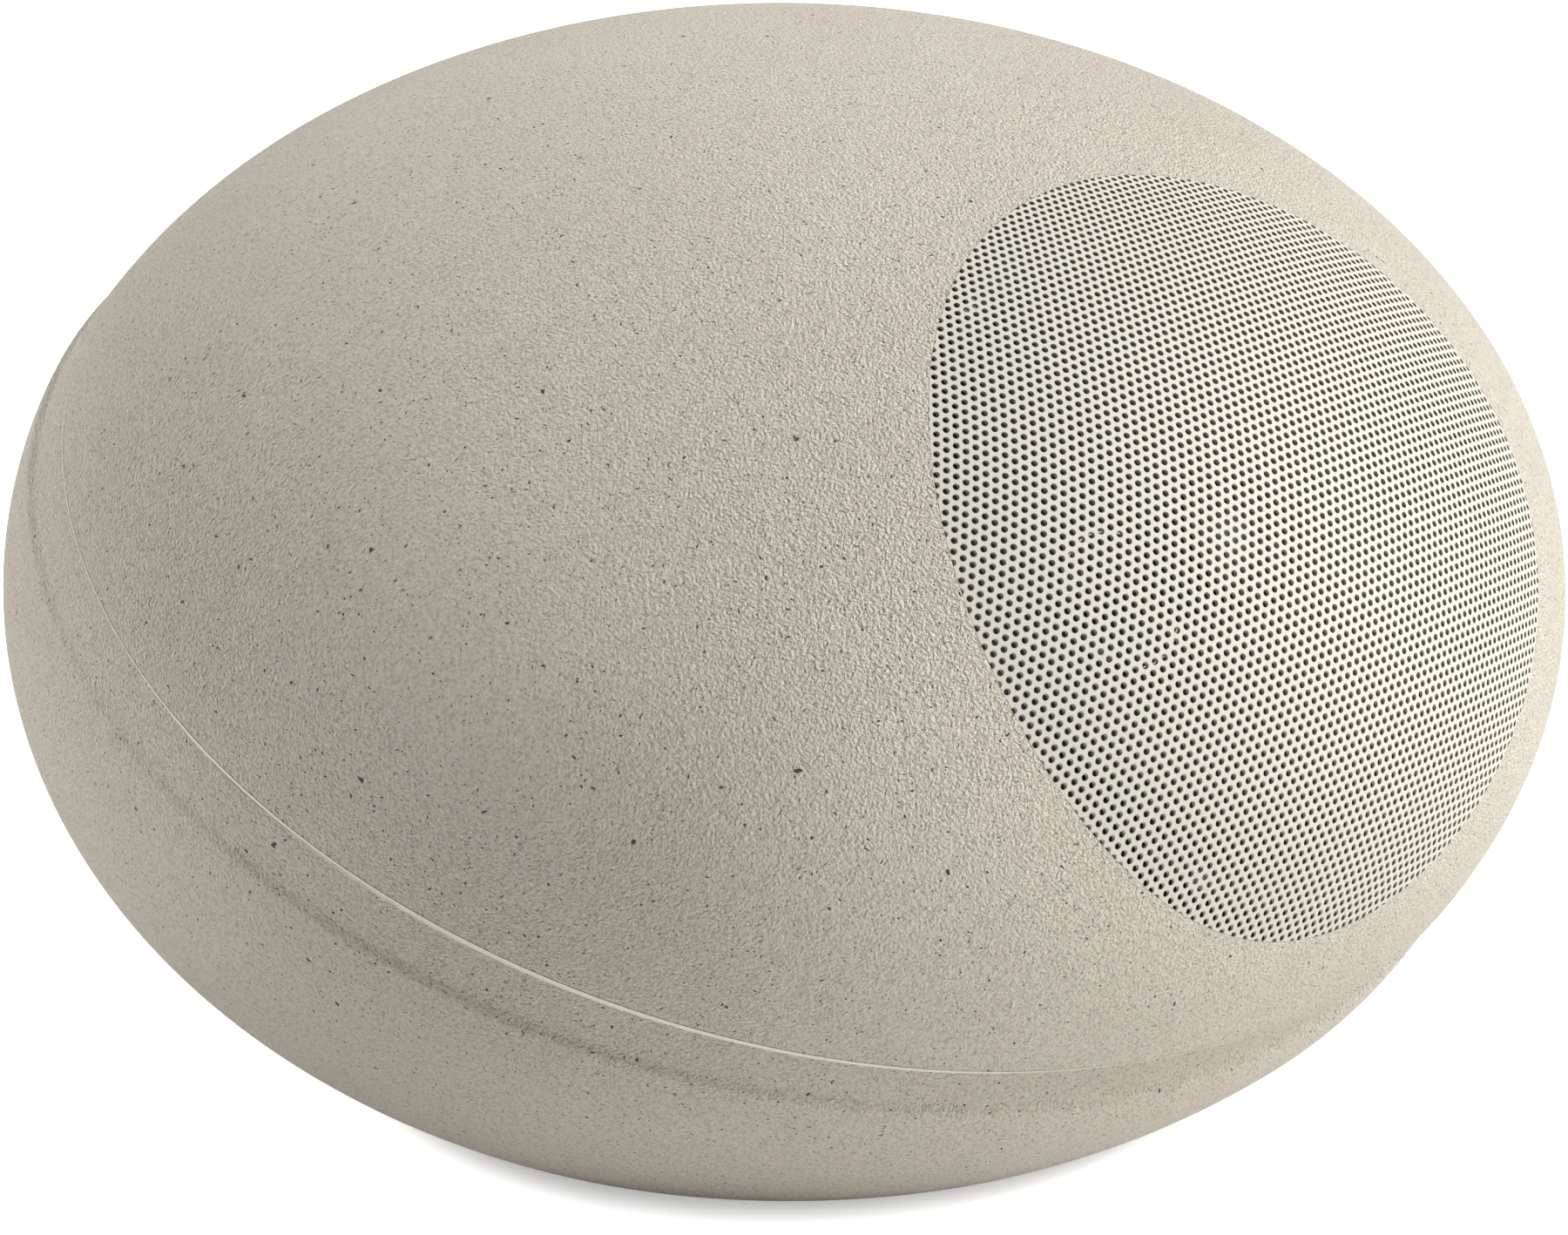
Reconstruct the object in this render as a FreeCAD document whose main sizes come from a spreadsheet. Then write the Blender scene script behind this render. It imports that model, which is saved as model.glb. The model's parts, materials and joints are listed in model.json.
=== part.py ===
import FreeCAD, Part
import math
import os
import re
import Sketcher

# Garden speaker: a pebble of two moulded shells with a tilted seam, a domed perforated grille,
# a coaxial driver behind it, a crossover on the floor and a cable gland in the back.
# Millimetres, +Z up, front towards -Y, origin in the middle of the flat base.

doc = FreeCAD.newDocument("garden_speaker")
dims = doc.addObject("Spreadsheet::Sheet", "dims")
probe = doc.addObject("App::FeaturePython", "probe")
probe.addProperty("App::PropertyFloat", "reading")

# Driving dimensions: name, value or what it follows, meaning
SIZES = [
    ("dome_radius", 220.0, "half width of the dome in plan"),
    ("dome_rise", 159.0, "half height of the dome's ellipse"),
    ("lower_step", 0.5, "how far the lower shell's plan stands inside the dome's"),
    ("lower_radius", "=dome_radius - lower_step", "half width of the lower shell in plan"),
    ("lower_depth", 164.0, "half height of the lower shell's ellipse"),
    ("lower_lead", 3.5, "how far the lower shell's axis stands ahead of the dome's"),
    ("lower_lift", 2.0, "how far the lower shell's middle stands above the dome's"),
    ("centre_height", 136.5, "dome's middle above the base"),
    ("gate_flat", 4.0, "radius of the small flat on a shell's pole, where the mould was filled"),
    ("wall", 5.0, "shell wall"),
    ("floor_wall", 6.0, "floor of the lower shell"),
    ("base_round", 45.0, "soft edge of the flat base"),
    ("seam_tilt", 27.0, "tilt of the seam, low at the front, in degrees"),
    ("crest_level", 1.0, "crest of the seam band, along the seam's normal"),
    ("band_width", 20.0, "seam band from the crest up to the seam"),
    ("seal_inset", 1.4, "seam seal inside the dome's outer face"),
    ("seal_width", 2.2, "seam seal across the rim"),
    ("seal_height", 2.0, "seam seal along the seam's normal"),
    ("grille_elevation", 33.0, "driver axis above the horizon, in degrees"),
    ("grille_radius", 100.0, "grille, seen along the driver axis"),
    ("grille_sheet", 1.2, "grille sheet"),
    ("grille_gap", 0.25, "gap round the grille in its rebate"),
    ("grille_bead", 0.1, "bead of glue under the grille"),
    ("grille_ledge", 5.0, "width of the ledge that carries the grille"),
    ("skirt_depth", 6.0, "turned-in skirt of the grille"),
    ("skirt_gap", 0.3, "gap between the skirt and the well"),
    ("hole_pitch", 20.0, "grille perforation, hole to hole"),
    ("hole_radius", 6.4, "grille perforation"),
    ("hole_margin", 3.0, "plain border between the holes and the skirt"),
    ("well_wall", 4.0, "wall of the driver well"),
    ("baffle_depth", 50.0, "baffle face behind the grille's middle"),
    ("baffle_wall", 6.0, "baffle"),
    ("cutout_radius", 84.0, "driver cut-out in the baffle"),
    ("gasket_sheet", 1.5, "driver gasket"),
    ("flange_radius", 93.5, "driver flange"),
    ("flange_sheet", 4.0, "driver flange, front to back"),
    ("flange_bore", 81.0, "opening of the driver flange"),
    ("basket_wall", 3.0, "basket wall"),
    ("basket_gap", 1.0, "gap between the basket and the cut-out"),
    ("neck_depth", 36.5, "basket's seat for the spider, behind the flange's back"),
    ("neck_radius", 49.5, "basket's seat for the spider, outside"),
    ("seat_width", 5.0, "width of the spider's seat"),
    ("basket_floor", 14.0, "back of the basket behind the spider's seat"),
    ("spoke_count", 6, "windows round the basket"),
    ("window_turn", 44.0, "width of a basket window, in degrees"),
    ("screw_circle", 89.0, "radius of the driver screws' circle"),
    ("screw_count", 6, "driver screws"),
    ("screw_radius", 2.0, "driver screw shank"),
    ("screw_length", 16.0, "driver screw under its head"),
    ("screw_head", 3.9, "driver screw head radius"),
    ("screw_head_height", 2.6, "driver screw head"),
    ("screw_clearance", 0.3, "screw in the flange and gasket"),
    ("cone_radius", 69.5, "cone rim"),
    ("cone_wall", 1.0, "cone paper"),
    ("cone_depth", 34.0, "cone rim to neck"),
    ("cone_curve", 150.0, "how far out the cone's curve is centred"),
    ("moving_gap", 0.3, "gap beside a moving piece"),
    ("roll_lip", 1.6, "inner lip of the surround"),
    ("roll_sheet", 1.0, "surround rubber"),
    ("roll_seat", 3.5, "outer lip of the surround on the flange"),
    ("spider_sheet", 0.8, "spider cloth"),
    ("spider_waves", 4, "ripples of the spider"),
    ("spider_sag", 2.0, "how far off the cloth a ripple's arc is centred"),
    ("coil_radius", 18.5, "bore of the coil former"),
    ("former_wall", 0.5, "coil former"),
    ("former_length", 34.0, "coil former behind the cone's neck"),
    ("coil_wall", 0.9, "coil winding"),
    ("coil_length", 12.0, "coil winding along the axis"),
    ("coil_end", 5.0, "bare former behind the winding"),
    ("gap_clearance", 0.7, "coil and former in the magnetic gap"),
    ("plate_radius", 52.0, "top plate"),
    ("plate_sheet", 6.0, "top plate"),
    ("magnet_radius", 57.0, "ring magnet"),
    ("magnet_bore", 27.0, "ring magnet"),
    ("magnet_length", 18.0, "ring magnet"),
    ("yoke_radius", 53.0, "yoke plate"),
    ("yoke_sheet", 7.0, "yoke plate"),
    ("post_radius", 8.0, "tweeter post"),
    ("post_bore", 5.0, "wire way through the tweeter post"),
    ("post_head", 12.0, "head of the tweeter post behind the yoke"),
    ("post_head_sheet", 3.0, "head of the tweeter post"),
    ("tweeter_depth", 26.0, "tweeter face behind the grille's middle"),
    ("cup_radius", 17.0, "tweeter cup"),
    ("cup_length", 20.0, "tweeter cup"),
    ("cup_wall", 2.0, "tweeter cup"),
    ("slug_radius", 11.0, "tweeter magnet"),
    ("slug_length", 7.0, "tweeter magnet"),
    ("pole_disc_radius", 9.5, "tweeter pole disc"),
    ("pole_disc_sheet", 3.0, "tweeter pole disc"),
    ("dome_tip_radius", 12.5, "tweeter dome"),
    ("dome_tip_rise", 4.2, "tweeter dome"),
    ("dome_tip_sheet", 0.7, "tweeter dome skin"),
    ("face_radius", 19.0, "tweeter face plate"),
    ("face_sheet", 4.2, "tweeter face plate"),
    ("face_bore", 13.2, "tweeter face plate"),
    ("face_flare", 3.4, "flare of the tweeter face plate"),
    ("tag_width", 24.0, "driver terminal strip"),
    ("tag_height", 10.0, "driver terminal strip"),
    ("tag_sheet", 2.5, "driver terminal strip"),
    ("blade_width", 4.8, "driver terminal blade"),
    ("blade_length", 9.0, "driver terminal blade"),
    ("blade_sheet", 0.8, "driver terminal blade"),
    ("board_width", 124.0, "crossover board, side to side"),
    ("board_length", 84.0, "crossover board, front to back"),
    ("board_sheet", 1.6, "crossover board"),
    ("board_setback", 62.0, "crossover board's middle behind the part's middle"),
    ("board_inset", 7.0, "crossover screws inside the board's edges"),
    ("standoff_height", 8.0, "crossover standoffs, from the floor or from where the bowl takes the board"),
    ("standoff_radius", 5.0, "crossover standoffs"),
    ("board_screw_radius", 1.5, "crossover screw shank"),
    ("board_screw_length", 8.0, "crossover screw under its head"),
    ("board_screw_head", 3.0, "crossover screw head radius"),
    ("board_screw_head_height", 2.2, "crossover screw head"),
    ("bobbin_radius", 25.0, "inductor bobbin's cheeks"),
    ("bobbin_bore", 9.0, "inductor bobbin"),
    ("bobbin_length", 24.0, "inductor bobbin"),
    ("bobbin_wall", 1.8, "inductor bobbin"),
    ("winding_radius", 22.5, "inductor winding"),
    ("can_radius", 8.0, "crossover capacitor"),
    ("can_length", 34.0, "crossover capacitor"),
    ("can_gap", 3.0, "between the capacitors"),
    ("resistor_length", 38.0, "crossover resistor"),
    ("resistor_side", 9.0, "crossover resistor"),
    ("block_length", 42.0, "terminal block"),
    ("block_width", 14.0, "terminal block"),
    ("block_height", 15.0, "terminal block"),
    ("block_pitch", 10.0, "terminal block, way to way"),
    ("block_hole", 2.6, "terminal block's screw wells"),
    ("gland_height", 60.0, "gland axis above the base"),
    ("gland_face", 20.22, "gland's seat, in from the lower shell's back"),
    ("gland_pad", 6.0, "wall that the gland is fixed in"),
    ("gland_well", 19.0, "recess round the gland"),
    ("gland_well_wall", 4.0, "wall of the recess"),
    ("gland_thread", 8.0, "gland thread"),
    ("gland_bore", 5.6, "gland body's bore"),
    ("gland_hex", 11.0, "gland hexagon, half across flats"),
    ("gland_hex_sheet", 5.0, "gland hexagon"),
    ("gland_inner", 14.0, "gland thread inside its seat"),
    ("gland_outer", 9.0, "gland thread outside its hexagon"),
    ("gland_wall", 0.4, "gap in the gland's hole"),
    ("locknut_sheet", 5.0, "gland locknut"),
    ("nut_radius", 11.0, "gland cap nut"),
    ("nut_length", 15.0, "gland cap nut"),
    ("nut_lip", 2.0, "end of the gland cap nut"),
    ("nut_mouth", 4.6, "opening of the gland cap nut"),
    ("seal_bore", 3.5, "gland seal, to take the cable"),
]

ALIASES = {name for name, size, meaning in SIZES}
for row, (name, size, meaning) in enumerate(SIZES, start=1):
    dims.set(f"A{row}", meaning)
    dims.set(f"B{row}", str(size))
    dims.setAlias(f"B{row}", name)
doc.recompute()


# Sizes and places as expressions over the sheet
def sheet(text):
    def qualify(match):
        word = match.group(0)
        return f"dims.{word}" if word in ALIASES else word
    return re.sub(r"[a-z_]+", qualify, text)


def bind(thing, prop, text):
    thing.setExpression(prop, sheet(text))


def number(text):
    bind(probe, "reading", text)
    probe.recompute()
    return probe.reading


def place(thing, x="0", y="0", z="0", tilt="0"):
    # Stands a piece at a point, leaned back about X by the tilt in degrees.
    turn = FreeCAD.Rotation(FreeCAD.Vector(1, 0, 0), number(tilt) or 1)
    thing.Placement = FreeCAD.Placement(FreeCAD.Vector(0, 0, 0), turn)
    bind(thing, "Placement.Base.x", x)
    bind(thing, "Placement.Base.y", y)
    bind(thing, "Placement.Base.z", z)
    bind(thing, "Placement.Rotation.Angle", tilt)
    return thing


# The dome's middle, the lower shell's middle, the seam's frame and the driver's frame
DOME_Y = "((dome_radius - lower_radius + lower_lead) / 2)"
LOWER_Y = f"({DOME_Y} - lower_lead)"
LOWER_Z = "(centre_height + lower_lift)"
LOWER_BACK = f"({LOWER_Y} + lower_radius * sqrt(1 - (({LOWER_Z} - gland_height) / lower_depth)^2))"
GLAND_SEAT = f"({LOWER_BACK} - gland_face)"
BOARD_REACH = f"hypot(board_width / 2; board_setback + board_length / 2 - {LOWER_Y})"
BOARD_FALL = f"(lower_depth - wall) * sqrt(1 - ({BOARD_REACH} / (lower_radius - wall))^2)"
BOARD_SEAT = f"(max(floor_wall; {LOWER_Z} - {BOARD_FALL}) + standoff_height)"
SEAM_LEVEL = "(crest_level + band_width)"
REACH = "(dome_radius * 1.5)"
AXIS_TILT = "(90 - grille_elevation)"
AXIS_SPAN = "sqrt((dome_radius * cos(grille_elevation))^2 + (dome_rise * sin(grille_elevation))^2)"
APEX_Y = f"({DOME_Y} - dome_radius^2 * cos(grille_elevation) / {AXIS_SPAN})"
APEX_Z = f"(centre_height + dome_rise^2 * sin(grille_elevation) / {AXIS_SPAN})"


def at_seam(thing, level):
    y = f"{DOME_Y} - ({level}) * sin(seam_tilt)"
    z = f"centre_height + ({level}) * cos(seam_tilt)"
    return place(thing, "0", y, z, "seam_tilt")


def at_driver(thing, ahead="0"):
    y = f"{APEX_Y} - ({ahead}) * cos(grille_elevation)"
    z = f"{APEX_Z} + ({ahead}) * sin(grille_elevation)"
    return place(thing, "0", y, z, AXIS_TILT)


def driver_frame():
    turn = FreeCAD.Rotation(FreeCAD.Vector(1, 0, 0), number(AXIS_TILT))
    return FreeCAD.Placement(FreeCAD.Vector(0, number(APEX_Y), number(APEX_Z)), turn)


# Primitives and booleans
def cylinder(name, radius, length):
    thing = doc.addObject("Part::Cylinder", name)
    bind(thing, "Radius", radius)
    bind(thing, "Height", length)
    return thing


def box(name, width, length, height):
    thing = doc.addObject("Part::Box", name)
    bind(thing, "Length", width)
    bind(thing, "Width", length)
    bind(thing, "Height", height)
    return thing


def cut(name, base, tool):
    thing = doc.addObject("Part::Cut", name)
    thing.Base = base
    thing.Tool = tool
    return thing


def joined(name, pieces):
    thing = doc.addObject("Part::MultiFuse", name)
    thing.Shapes = pieces
    return thing


def shared(name, pieces):
    thing = doc.addObject("Part::MultiCommon", name)
    thing.Shapes = pieces
    return thing


def shaped(name, shape):
    thing = doc.addObject("Part::Feature", name)
    thing.Shape = shape
    return thing


# Bodies turned from a sketched outline
def origin_plane(body, role):
    return next(plane for plane in body.Origin.OriginFeatures if plane.Role == role)


def sketch_on(body, name, role):
    sketch = body.newObject("Sketcher::SketchObject", name)
    sketch.AttachmentSupport = [(origin_plane(body, role), "")]
    sketch.MapMode = "FlatFace"
    return sketch


def fix_point(sketch, curve, end, across, up):
    # Holds one end of a curve at a point given by two expressions.
    for kind, axis, text in (("DistanceX", -2, across), ("DistanceY", -1, up)):
        if text == "0":
            sketch.addConstraint(Sketcher.Constraint("PointOnObject", curve, end, axis))
            continue
        held = Sketcher.Constraint(kind, -1, 1, curve, end, number(text))
        index = sketch.addConstraint(held)
        bind(sketch, f"Constraints[{index}]", text)


def arc_middle(first, last, level):
    # Centre of the arc through two points whose centre stands at the given height.
    half_x, half_y = (first[0] + last[0]) / 2, (first[1] + last[1]) / 2
    return half_x - (level - half_y) * (last[1] - first[1]) / (last[0] - first[0]), level


def draw_outline(sketch, points):
    # Each point is (across, up), and a third entry bends the side that follows it:
    # (height of the arc's centre, True where the arc runs counter-clockwise).
    places = [(number(point[0]), number(point[1])) for point in points]
    starts = []
    for index, point in enumerate(points):
        first, last = places[index], places[(index + 1) % len(points)]
        if len(point) == 2:
            ends = [FreeCAD.Vector(*first, 0), FreeCAD.Vector(*last, 0)]
            curve = sketch.addGeometry(Part.LineSegment(*ends))
            starts.append((curve, 1, 2))
            continue
        level, turns_left = point[2]
        middle = arc_middle(first, last, number(level))
        radius = math.dist(middle, first)
        angles = [math.atan2(end[1] - middle[1], end[0] - middle[0]) for end in (first, last)]
        circle = Part.Circle(FreeCAD.Vector(*middle, 0), FreeCAD.Vector(0, 0, 1), radius)
        if not turns_left:
            angles.reverse()
        curve = sketch.addGeometry(Part.ArcOfCircle(circle, *angles))
        starts.append((curve, 1, 2) if turns_left else (curve, 2, 1))
    for index, (curve, start, end) in enumerate(starts):
        next_curve, next_start, next_end = starts[(index + 1) % len(starts)]
        sketch.addConstraint(Sketcher.Constraint("Coincident", curve, end, next_curve, next_start))
    for (curve, start, end), point in zip(starts, points):
        fix_point(sketch, curve, start, point[0], point[1])
        if len(point) == 3:
            level = point[2][0]
            held = Sketcher.Constraint("DistanceY", -1, 1, curve, 3, number(level))
            bind(sketch, f"Constraints[{sketch.addConstraint(held)}]", level)


def turn_about_axis(body, sketch):
    turn = body.newObject("PartDesign::Revolution", f"{body.Name}_turn")
    turn.Profile = sketch
    turn.ReferenceAxis = (sketch, ["V_Axis"])
    turn.Angle = 360
    body.Tip = turn
    doc.recompute()


def turned(name, points):
    body = doc.addObject("PartDesign::Body", name)
    sketch = sketch_on(body, f"{name}_outline", "XZ_Plane")
    draw_outline(sketch, points)
    turn_about_axis(body, sketch)
    return body


def spheroid(name, plan, rise, y=DOME_Y, z="centre_height"):
    # A flattened ball with a small flat on each pole: half an ellipse turned about its upright axis.
    body = doc.addObject("PartDesign::Body", name)
    sketch = sketch_on(body, f"{name}_outline", "XZ_Plane")
    flat = number("gate_flat")
    turn = math.acos(flat / number(plan))
    tall = number(rise) * math.sin(turn)
    oval = Part.Ellipse(FreeCAD.Vector(0, 0, 0), number(plan), number(rise))
    half = sketch.addGeometry(Part.ArcOfEllipse(oval, -turn, turn))
    corners = [FreeCAD.Vector(*corner, 0) for corner in ((flat, tall), (0, tall), (0, -tall), (flat, -tall))]
    top, axis, bottom = [
        sketch.addGeometry(Part.LineSegment(*ends)) for ends in zip(corners, corners[1:])]
    for first, last in (((half, 2), (top, 1)), ((top, 2), (axis, 1)), ((axis, 2), (bottom, 1)),
                        ((bottom, 2), (half, 1)), ((half, 3), (-1, 1))):
        sketch.addConstraint(Sketcher.Constraint("Coincident", *first, *last))
    sketch.addConstraint(Sketcher.Constraint("PointOnObject", axis, 1, -2))
    sketch.addConstraint(Sketcher.Constraint("PointOnObject", axis, 2, -2))
    sketch.exposeInternalGeometry(half)
    long_axis, short_axis = bottom + 1, bottom + 2
    for line in (top, bottom, long_axis):
        sketch.addConstraint(Sketcher.Constraint("Horizontal", line))
    for line, size in ((long_axis, f"2 * ({plan})"), (short_axis, f"2 * ({rise})"),
                       (top, "gate_flat"), (bottom, "gate_flat")):
        index = sketch.addConstraint(Sketcher.Constraint("Distance", line, number(size)))
        bind(sketch, f"Constraints[{index}]", size)
    turn_about_axis(body, sketch)
    return place(body, "0", y, z)


def inside_dome(name, depth):
    return spheroid(name, f"dome_radius - ({depth})", f"dome_rise - ({depth})")


def pattern(body, feature, sketch, count):
    ring = body.newObject("PartDesign::PolarPattern", f"{feature.Name}_ring")
    ring.Originals = [feature]
    ring.Axis = (sketch, ["N_Axis"])
    ring.Angle = 360
    bind(ring, "Occurrences", count)
    body.Tip = ring
    doc.recompute()


def pocket_through(body, name, sketch):
    before = body.Shape.Volume
    pocket = body.newObject("PartDesign::Pocket", name)
    pocket.Profile = sketch
    pocket.Type = "ThroughAll"
    pocket.Midplane = True
    body.Tip = pocket
    doc.recompute()
    if body.Shape.Volume >= before:
        raise RuntimeError(f"{name} cuts nothing")
    return pocket


def drill_ring(body, name, radius, circle, count):
    sketch = sketch_on(body, f"{name}_outline", "XY_Plane")
    middle = FreeCAD.Vector(number(circle), 0, 0)
    hole = sketch.addGeometry(Part.Circle(middle, FreeCAD.Vector(0, 0, 1), number(radius)))
    fix_point(sketch, hole, 3, circle, "0")
    index = sketch.addConstraint(Sketcher.Constraint("Radius", hole, number(radius)))
    bind(sketch, f"Constraints[{index}]", radius)
    pattern(body, pocket_through(body, name, sketch), sketch, count)


def ring_of(name, source, count, radius):
    # Copies of one solid, evenly round the driver axis.
    copies = []
    for index in range(int(number(count))):
        spin = FreeCAD.Placement()
        spin.Rotation = FreeCAD.Rotation(FreeCAD.Vector(0, 0, 1), 360 * index / number(count))
        out = FreeCAD.Placement(FreeCAD.Vector(number(radius), 0, 0), FreeCAD.Rotation())
        copies.append(source.Shape.transformed((driver_frame() * spin * out).Matrix))
    return shaped(name, Part.makeCompound(copies))


# Levels along the driver axis, measured from the grille's middle
BAFFLE = "(-baffle_depth)"
FLANGE_BACK = f"({BAFFLE} + gasket_sheet)"
FLANGE_FACE = f"({FLANGE_BACK} + flange_sheet)"
NECK_FACE = f"({FLANGE_BACK} - neck_depth)"
BASKET_BACK = f"({NECK_FACE} - basket_floor)"
PLATE_BACK = f"({BASKET_BACK} - plate_sheet)"
MAGNET_BACK = f"({PLATE_BACK} - magnet_length)"
YOKE_BACK = f"({MAGNET_BACK} - yoke_sheet)"
CONE_NECK = f"({FLANGE_FACE} - cone_depth)"
FORMER_OUT = "(coil_radius + former_wall)"
COIL_OUT = f"({FORMER_OUT} + coil_wall)"
FORMER_END = f"({CONE_NECK} - former_length)"
COIL_BACK = f"({FORMER_END} + coil_end)"
TWEETER_FACE = "(-tweeter_depth)"
DOME_SEAT = f"({TWEETER_FACE} - face_sheet)"
CUP_RIM = f"({DOME_SEAT} - dome_tip_sheet)"
CUP_BACK = f"({CUP_RIM} - cup_length)"
WELL_RADIUS = "(grille_radius - grille_ledge)"
SKIRT_RADIUS = f"({WELL_RADIUS} - skirt_gap)"
SKIRT_BORE = f"({SKIRT_RADIUS} - grille_sheet)"

# How the grille's patch of skin is sampled: steps a side, reach past its edge, how far the
# patch's corners are drawn in, degree, and fit
PATCH_STEPS = 16
PATCH_MARGIN = 1.015
PATCH_ROUND = 0.3
PATCH_DEGREE = 8
PATCH_TOLERANCE = 0.02

# How near an edge lies to the ground to count as the base's
GROUND_TOLERANCE = 0.001


# The dome's skin, the room inside it and the surface that the grille rests on
dome_skin = spheroid("dome_skin", "dome_radius", "dome_rise")
dome_room = inside_dome("dome_room", "wall")
grille_bed = inside_dome("grille_bed", "grille_sheet + grille_bead")


def make_upper_shell():
    # The dome above the seam, hollow, with the driver's well and baffle left standing inside.
    above_seam = at_seam(cylinder("above_seam", REACH, "dome_radius * 2"), SEAM_LEVEL)
    dome = shared("dome_block", [dome_skin, above_seam])
    well = at_driver(
        cylinder("well_block", f"{WELL_RADIUS} + well_wall", "baffle_depth + baffle_wall"),
        "-(baffle_depth + baffle_wall)")
    hollow = cut("dome_hollow", dome_room, well)
    shell = cut("dome_shell", dome, hollow)
    mouth = at_driver(cylinder("well_mouth", WELL_RADIUS, "baffle_depth * 2"), BAFFLE)
    cutout = at_driver(
        cylinder("driver_cutout", "cutout_radius", "baffle_wall * 3"), f"{BAFFLE} - baffle_wall * 2")
    rebate_plug = at_driver(cylinder("rebate_plug", "grille_radius + grille_gap", "baffle_depth * 2"), BAFFLE)
    rebate = cut("grille_rebate", rebate_plug, grille_bed)
    pilot = cylinder("pilot_hole", "screw_radius", "screw_length + 1")
    place(pilot, "0", "0", f"{FLANGE_FACE} - screw_length - 1")
    doc.recompute()
    pilots = ring_of("pilot_holes", pilot, "screw_count", "screw_circle")
    doc.recompute()
    return cut("upper_shell", shell, joined("dome_cuts", [mouth, cutout, rebate, pilots]))


def tilted_section(plan, rise, level, tilt):
    # The ellipse where a plane tilted about X crosses a spheroid: half width, half length, shift.
    lean, stand = math.sin(tilt), math.cos(tilt)
    along = (stand / plan) ** 2 + (lean / rise) ** 2
    across = (lean / plan) ** 2 + (stand / rise) ** 2
    skew = level * lean * stand * (rise ** -2 - plan ** -2)
    share = 1 - level ** 2 * across + skew ** 2 / along
    return plan * math.sqrt(share), math.sqrt(share / along), -skew / along


def seam_wire(plan, rise, middle_y, middle_z, level):
    # A spheroid's section at a level of the seam's frame, as a wire.
    tilt = math.radians(number("seam_tilt"))
    shift_y = number(middle_y) - number(DOME_Y)
    shift_z = number(middle_z) - number("centre_height")
    own_level = number(level) + shift_y * math.sin(tilt) - shift_z * math.cos(tilt)
    own_shift = shift_y * math.cos(tilt) + shift_z * math.sin(tilt)
    half_width, half_length, shift = tilted_section(number(plan), number(rise), own_level, tilt)
    oval = Part.Ellipse(FreeCAD.Vector(0, own_shift + shift, number(level)), half_width, half_length)
    return Part.Wire([oval.toShape()])


def seam_band(name, depth):
    # The ramp that takes the lower shell's skin in to the dome's at the seam, at a depth in the wall.
    crest = seam_wire(f"lower_radius - {depth}", f"lower_depth - {depth}", LOWER_Y, LOWER_Z, "crest_level")
    seam = seam_wire(f"dome_radius - {depth}", f"dome_rise - {depth}", DOME_Y, "centre_height", SEAM_LEVEL)
    return at_seam(shaped(name, Part.makeLoft([crest, seam], True, True)), "0")


def bowl_below_crest(name, depth, floor):
    # The lower shell's form under its crest, at a depth in the wall, on a level floor.
    skin = spheroid(f"{name}_skin", f"lower_radius - {depth}", f"lower_depth - {depth}", LOWER_Y, LOWER_Z)
    below = cylinder(f"{name}_below_crest", REACH, "dome_radius * 2")
    above = cylinder(f"{name}_above_floor", REACH, "dome_radius * 2")
    at_seam(below, "crest_level - dome_radius * 2")
    place(above, "0", "0", floor)
    return shared(f"{name}_block", [skin, below, above])


def soften_base(name, block):
    # Rounds the edge where a block meets the ground.
    doc.recompute()
    rounded = doc.addObject("Part::Fillet", name)
    rounded.Base = block
    radius = number("base_round")
    rounded.Edges = [
        (index, radius, radius) for index, edge in enumerate(block.Shape.Edges, start=1)
        if abs(edge.BoundBox.ZMax) < GROUND_TOLERANCE]
    return rounded


def make_seam_seal():
    # A flat cord in the lower shell's rim, under the dome's rim.
    outside = inside_dome("seal_outside", "seal_inset")
    ring = cut("seal_ring", outside, inside_dome("seal_inside", "seal_inset + seal_width"))
    slab = at_seam(cylinder("seal_slab", REACH, "seal_height"), f"{SEAM_LEVEL} - seal_height")
    return shared("seam_seal", [ring, slab])


def board_corners():
    spread_x = "(board_width / 2 - board_inset)"
    spread_y = "(board_length / 2 - board_inset)"
    signs = [(-1, -1), (1, -1), (1, 1), (-1, 1)]
    return [(f"{sx} * {spread_x}", f"board_setback + {sy} * {spread_y}") for sx, sy in signs]


def along_back(thing, y):
    # Lays a cylinder along +Y on the gland's axis.
    return place(thing, "0", y, "gland_height", "-90")


def make_lower_shell(seal):
    # The bowl under the seam, with a flat base, standoffs for the crossover and the gland's recess.
    bowl = soften_base("bowl_base", bowl_below_crest("bowl", "0", "0"))
    outside = joined("bowl_with_band", [bowl, seam_band("bowl_band", "0")])
    room = joined("bowl_room", [
        bowl_below_crest("room", "wall", "floor_wall"), seam_band("room_band", "wall")])
    boss = cylinder("gland_boss", "gland_well + gland_well_wall", "dome_radius")
    kept = [along_back(boss, f"{GLAND_SEAT} - gland_pad")]
    drilled = [
        along_back(cylinder("gland_recess", "gland_well", "dome_radius"), GLAND_SEAT),
        along_back(
            cylinder("gland_hole", "gland_thread + gland_wall", "gland_pad * 3"),
            f"{GLAND_SEAT} - gland_pad * 2")]
    for index, (x, y) in enumerate(board_corners()):
        post = cylinder(f"standoff_{index}", "standoff_radius", BOARD_SEAT)
        kept.append(place(post, x, y, "0"))
        pilot = cylinder(f"standoff_pilot_{index}", "board_screw_radius", "board_screw_length")
        drilled.append(place(pilot, x, y, f"{BOARD_SEAT} + board_sheet - board_screw_length"))
    hollow = cut("bowl_hollow", room, joined("bowl_kept", kept))
    shell = cut("bowl_shell", outside, hollow)
    return cut("lower_shell", shell, joined("bowl_cuts", drilled + [seal]))


def dome_normal(point):
    # Outward normal of the dome's skin at a point given from the dome's middle.
    plan, rise = number("dome_radius"), number("dome_rise")
    slope = FreeCAD.Vector(point.x / plan ** 2, point.y / plan ** 2, point.z / rise ** 2)
    return slope.normalize()


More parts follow.
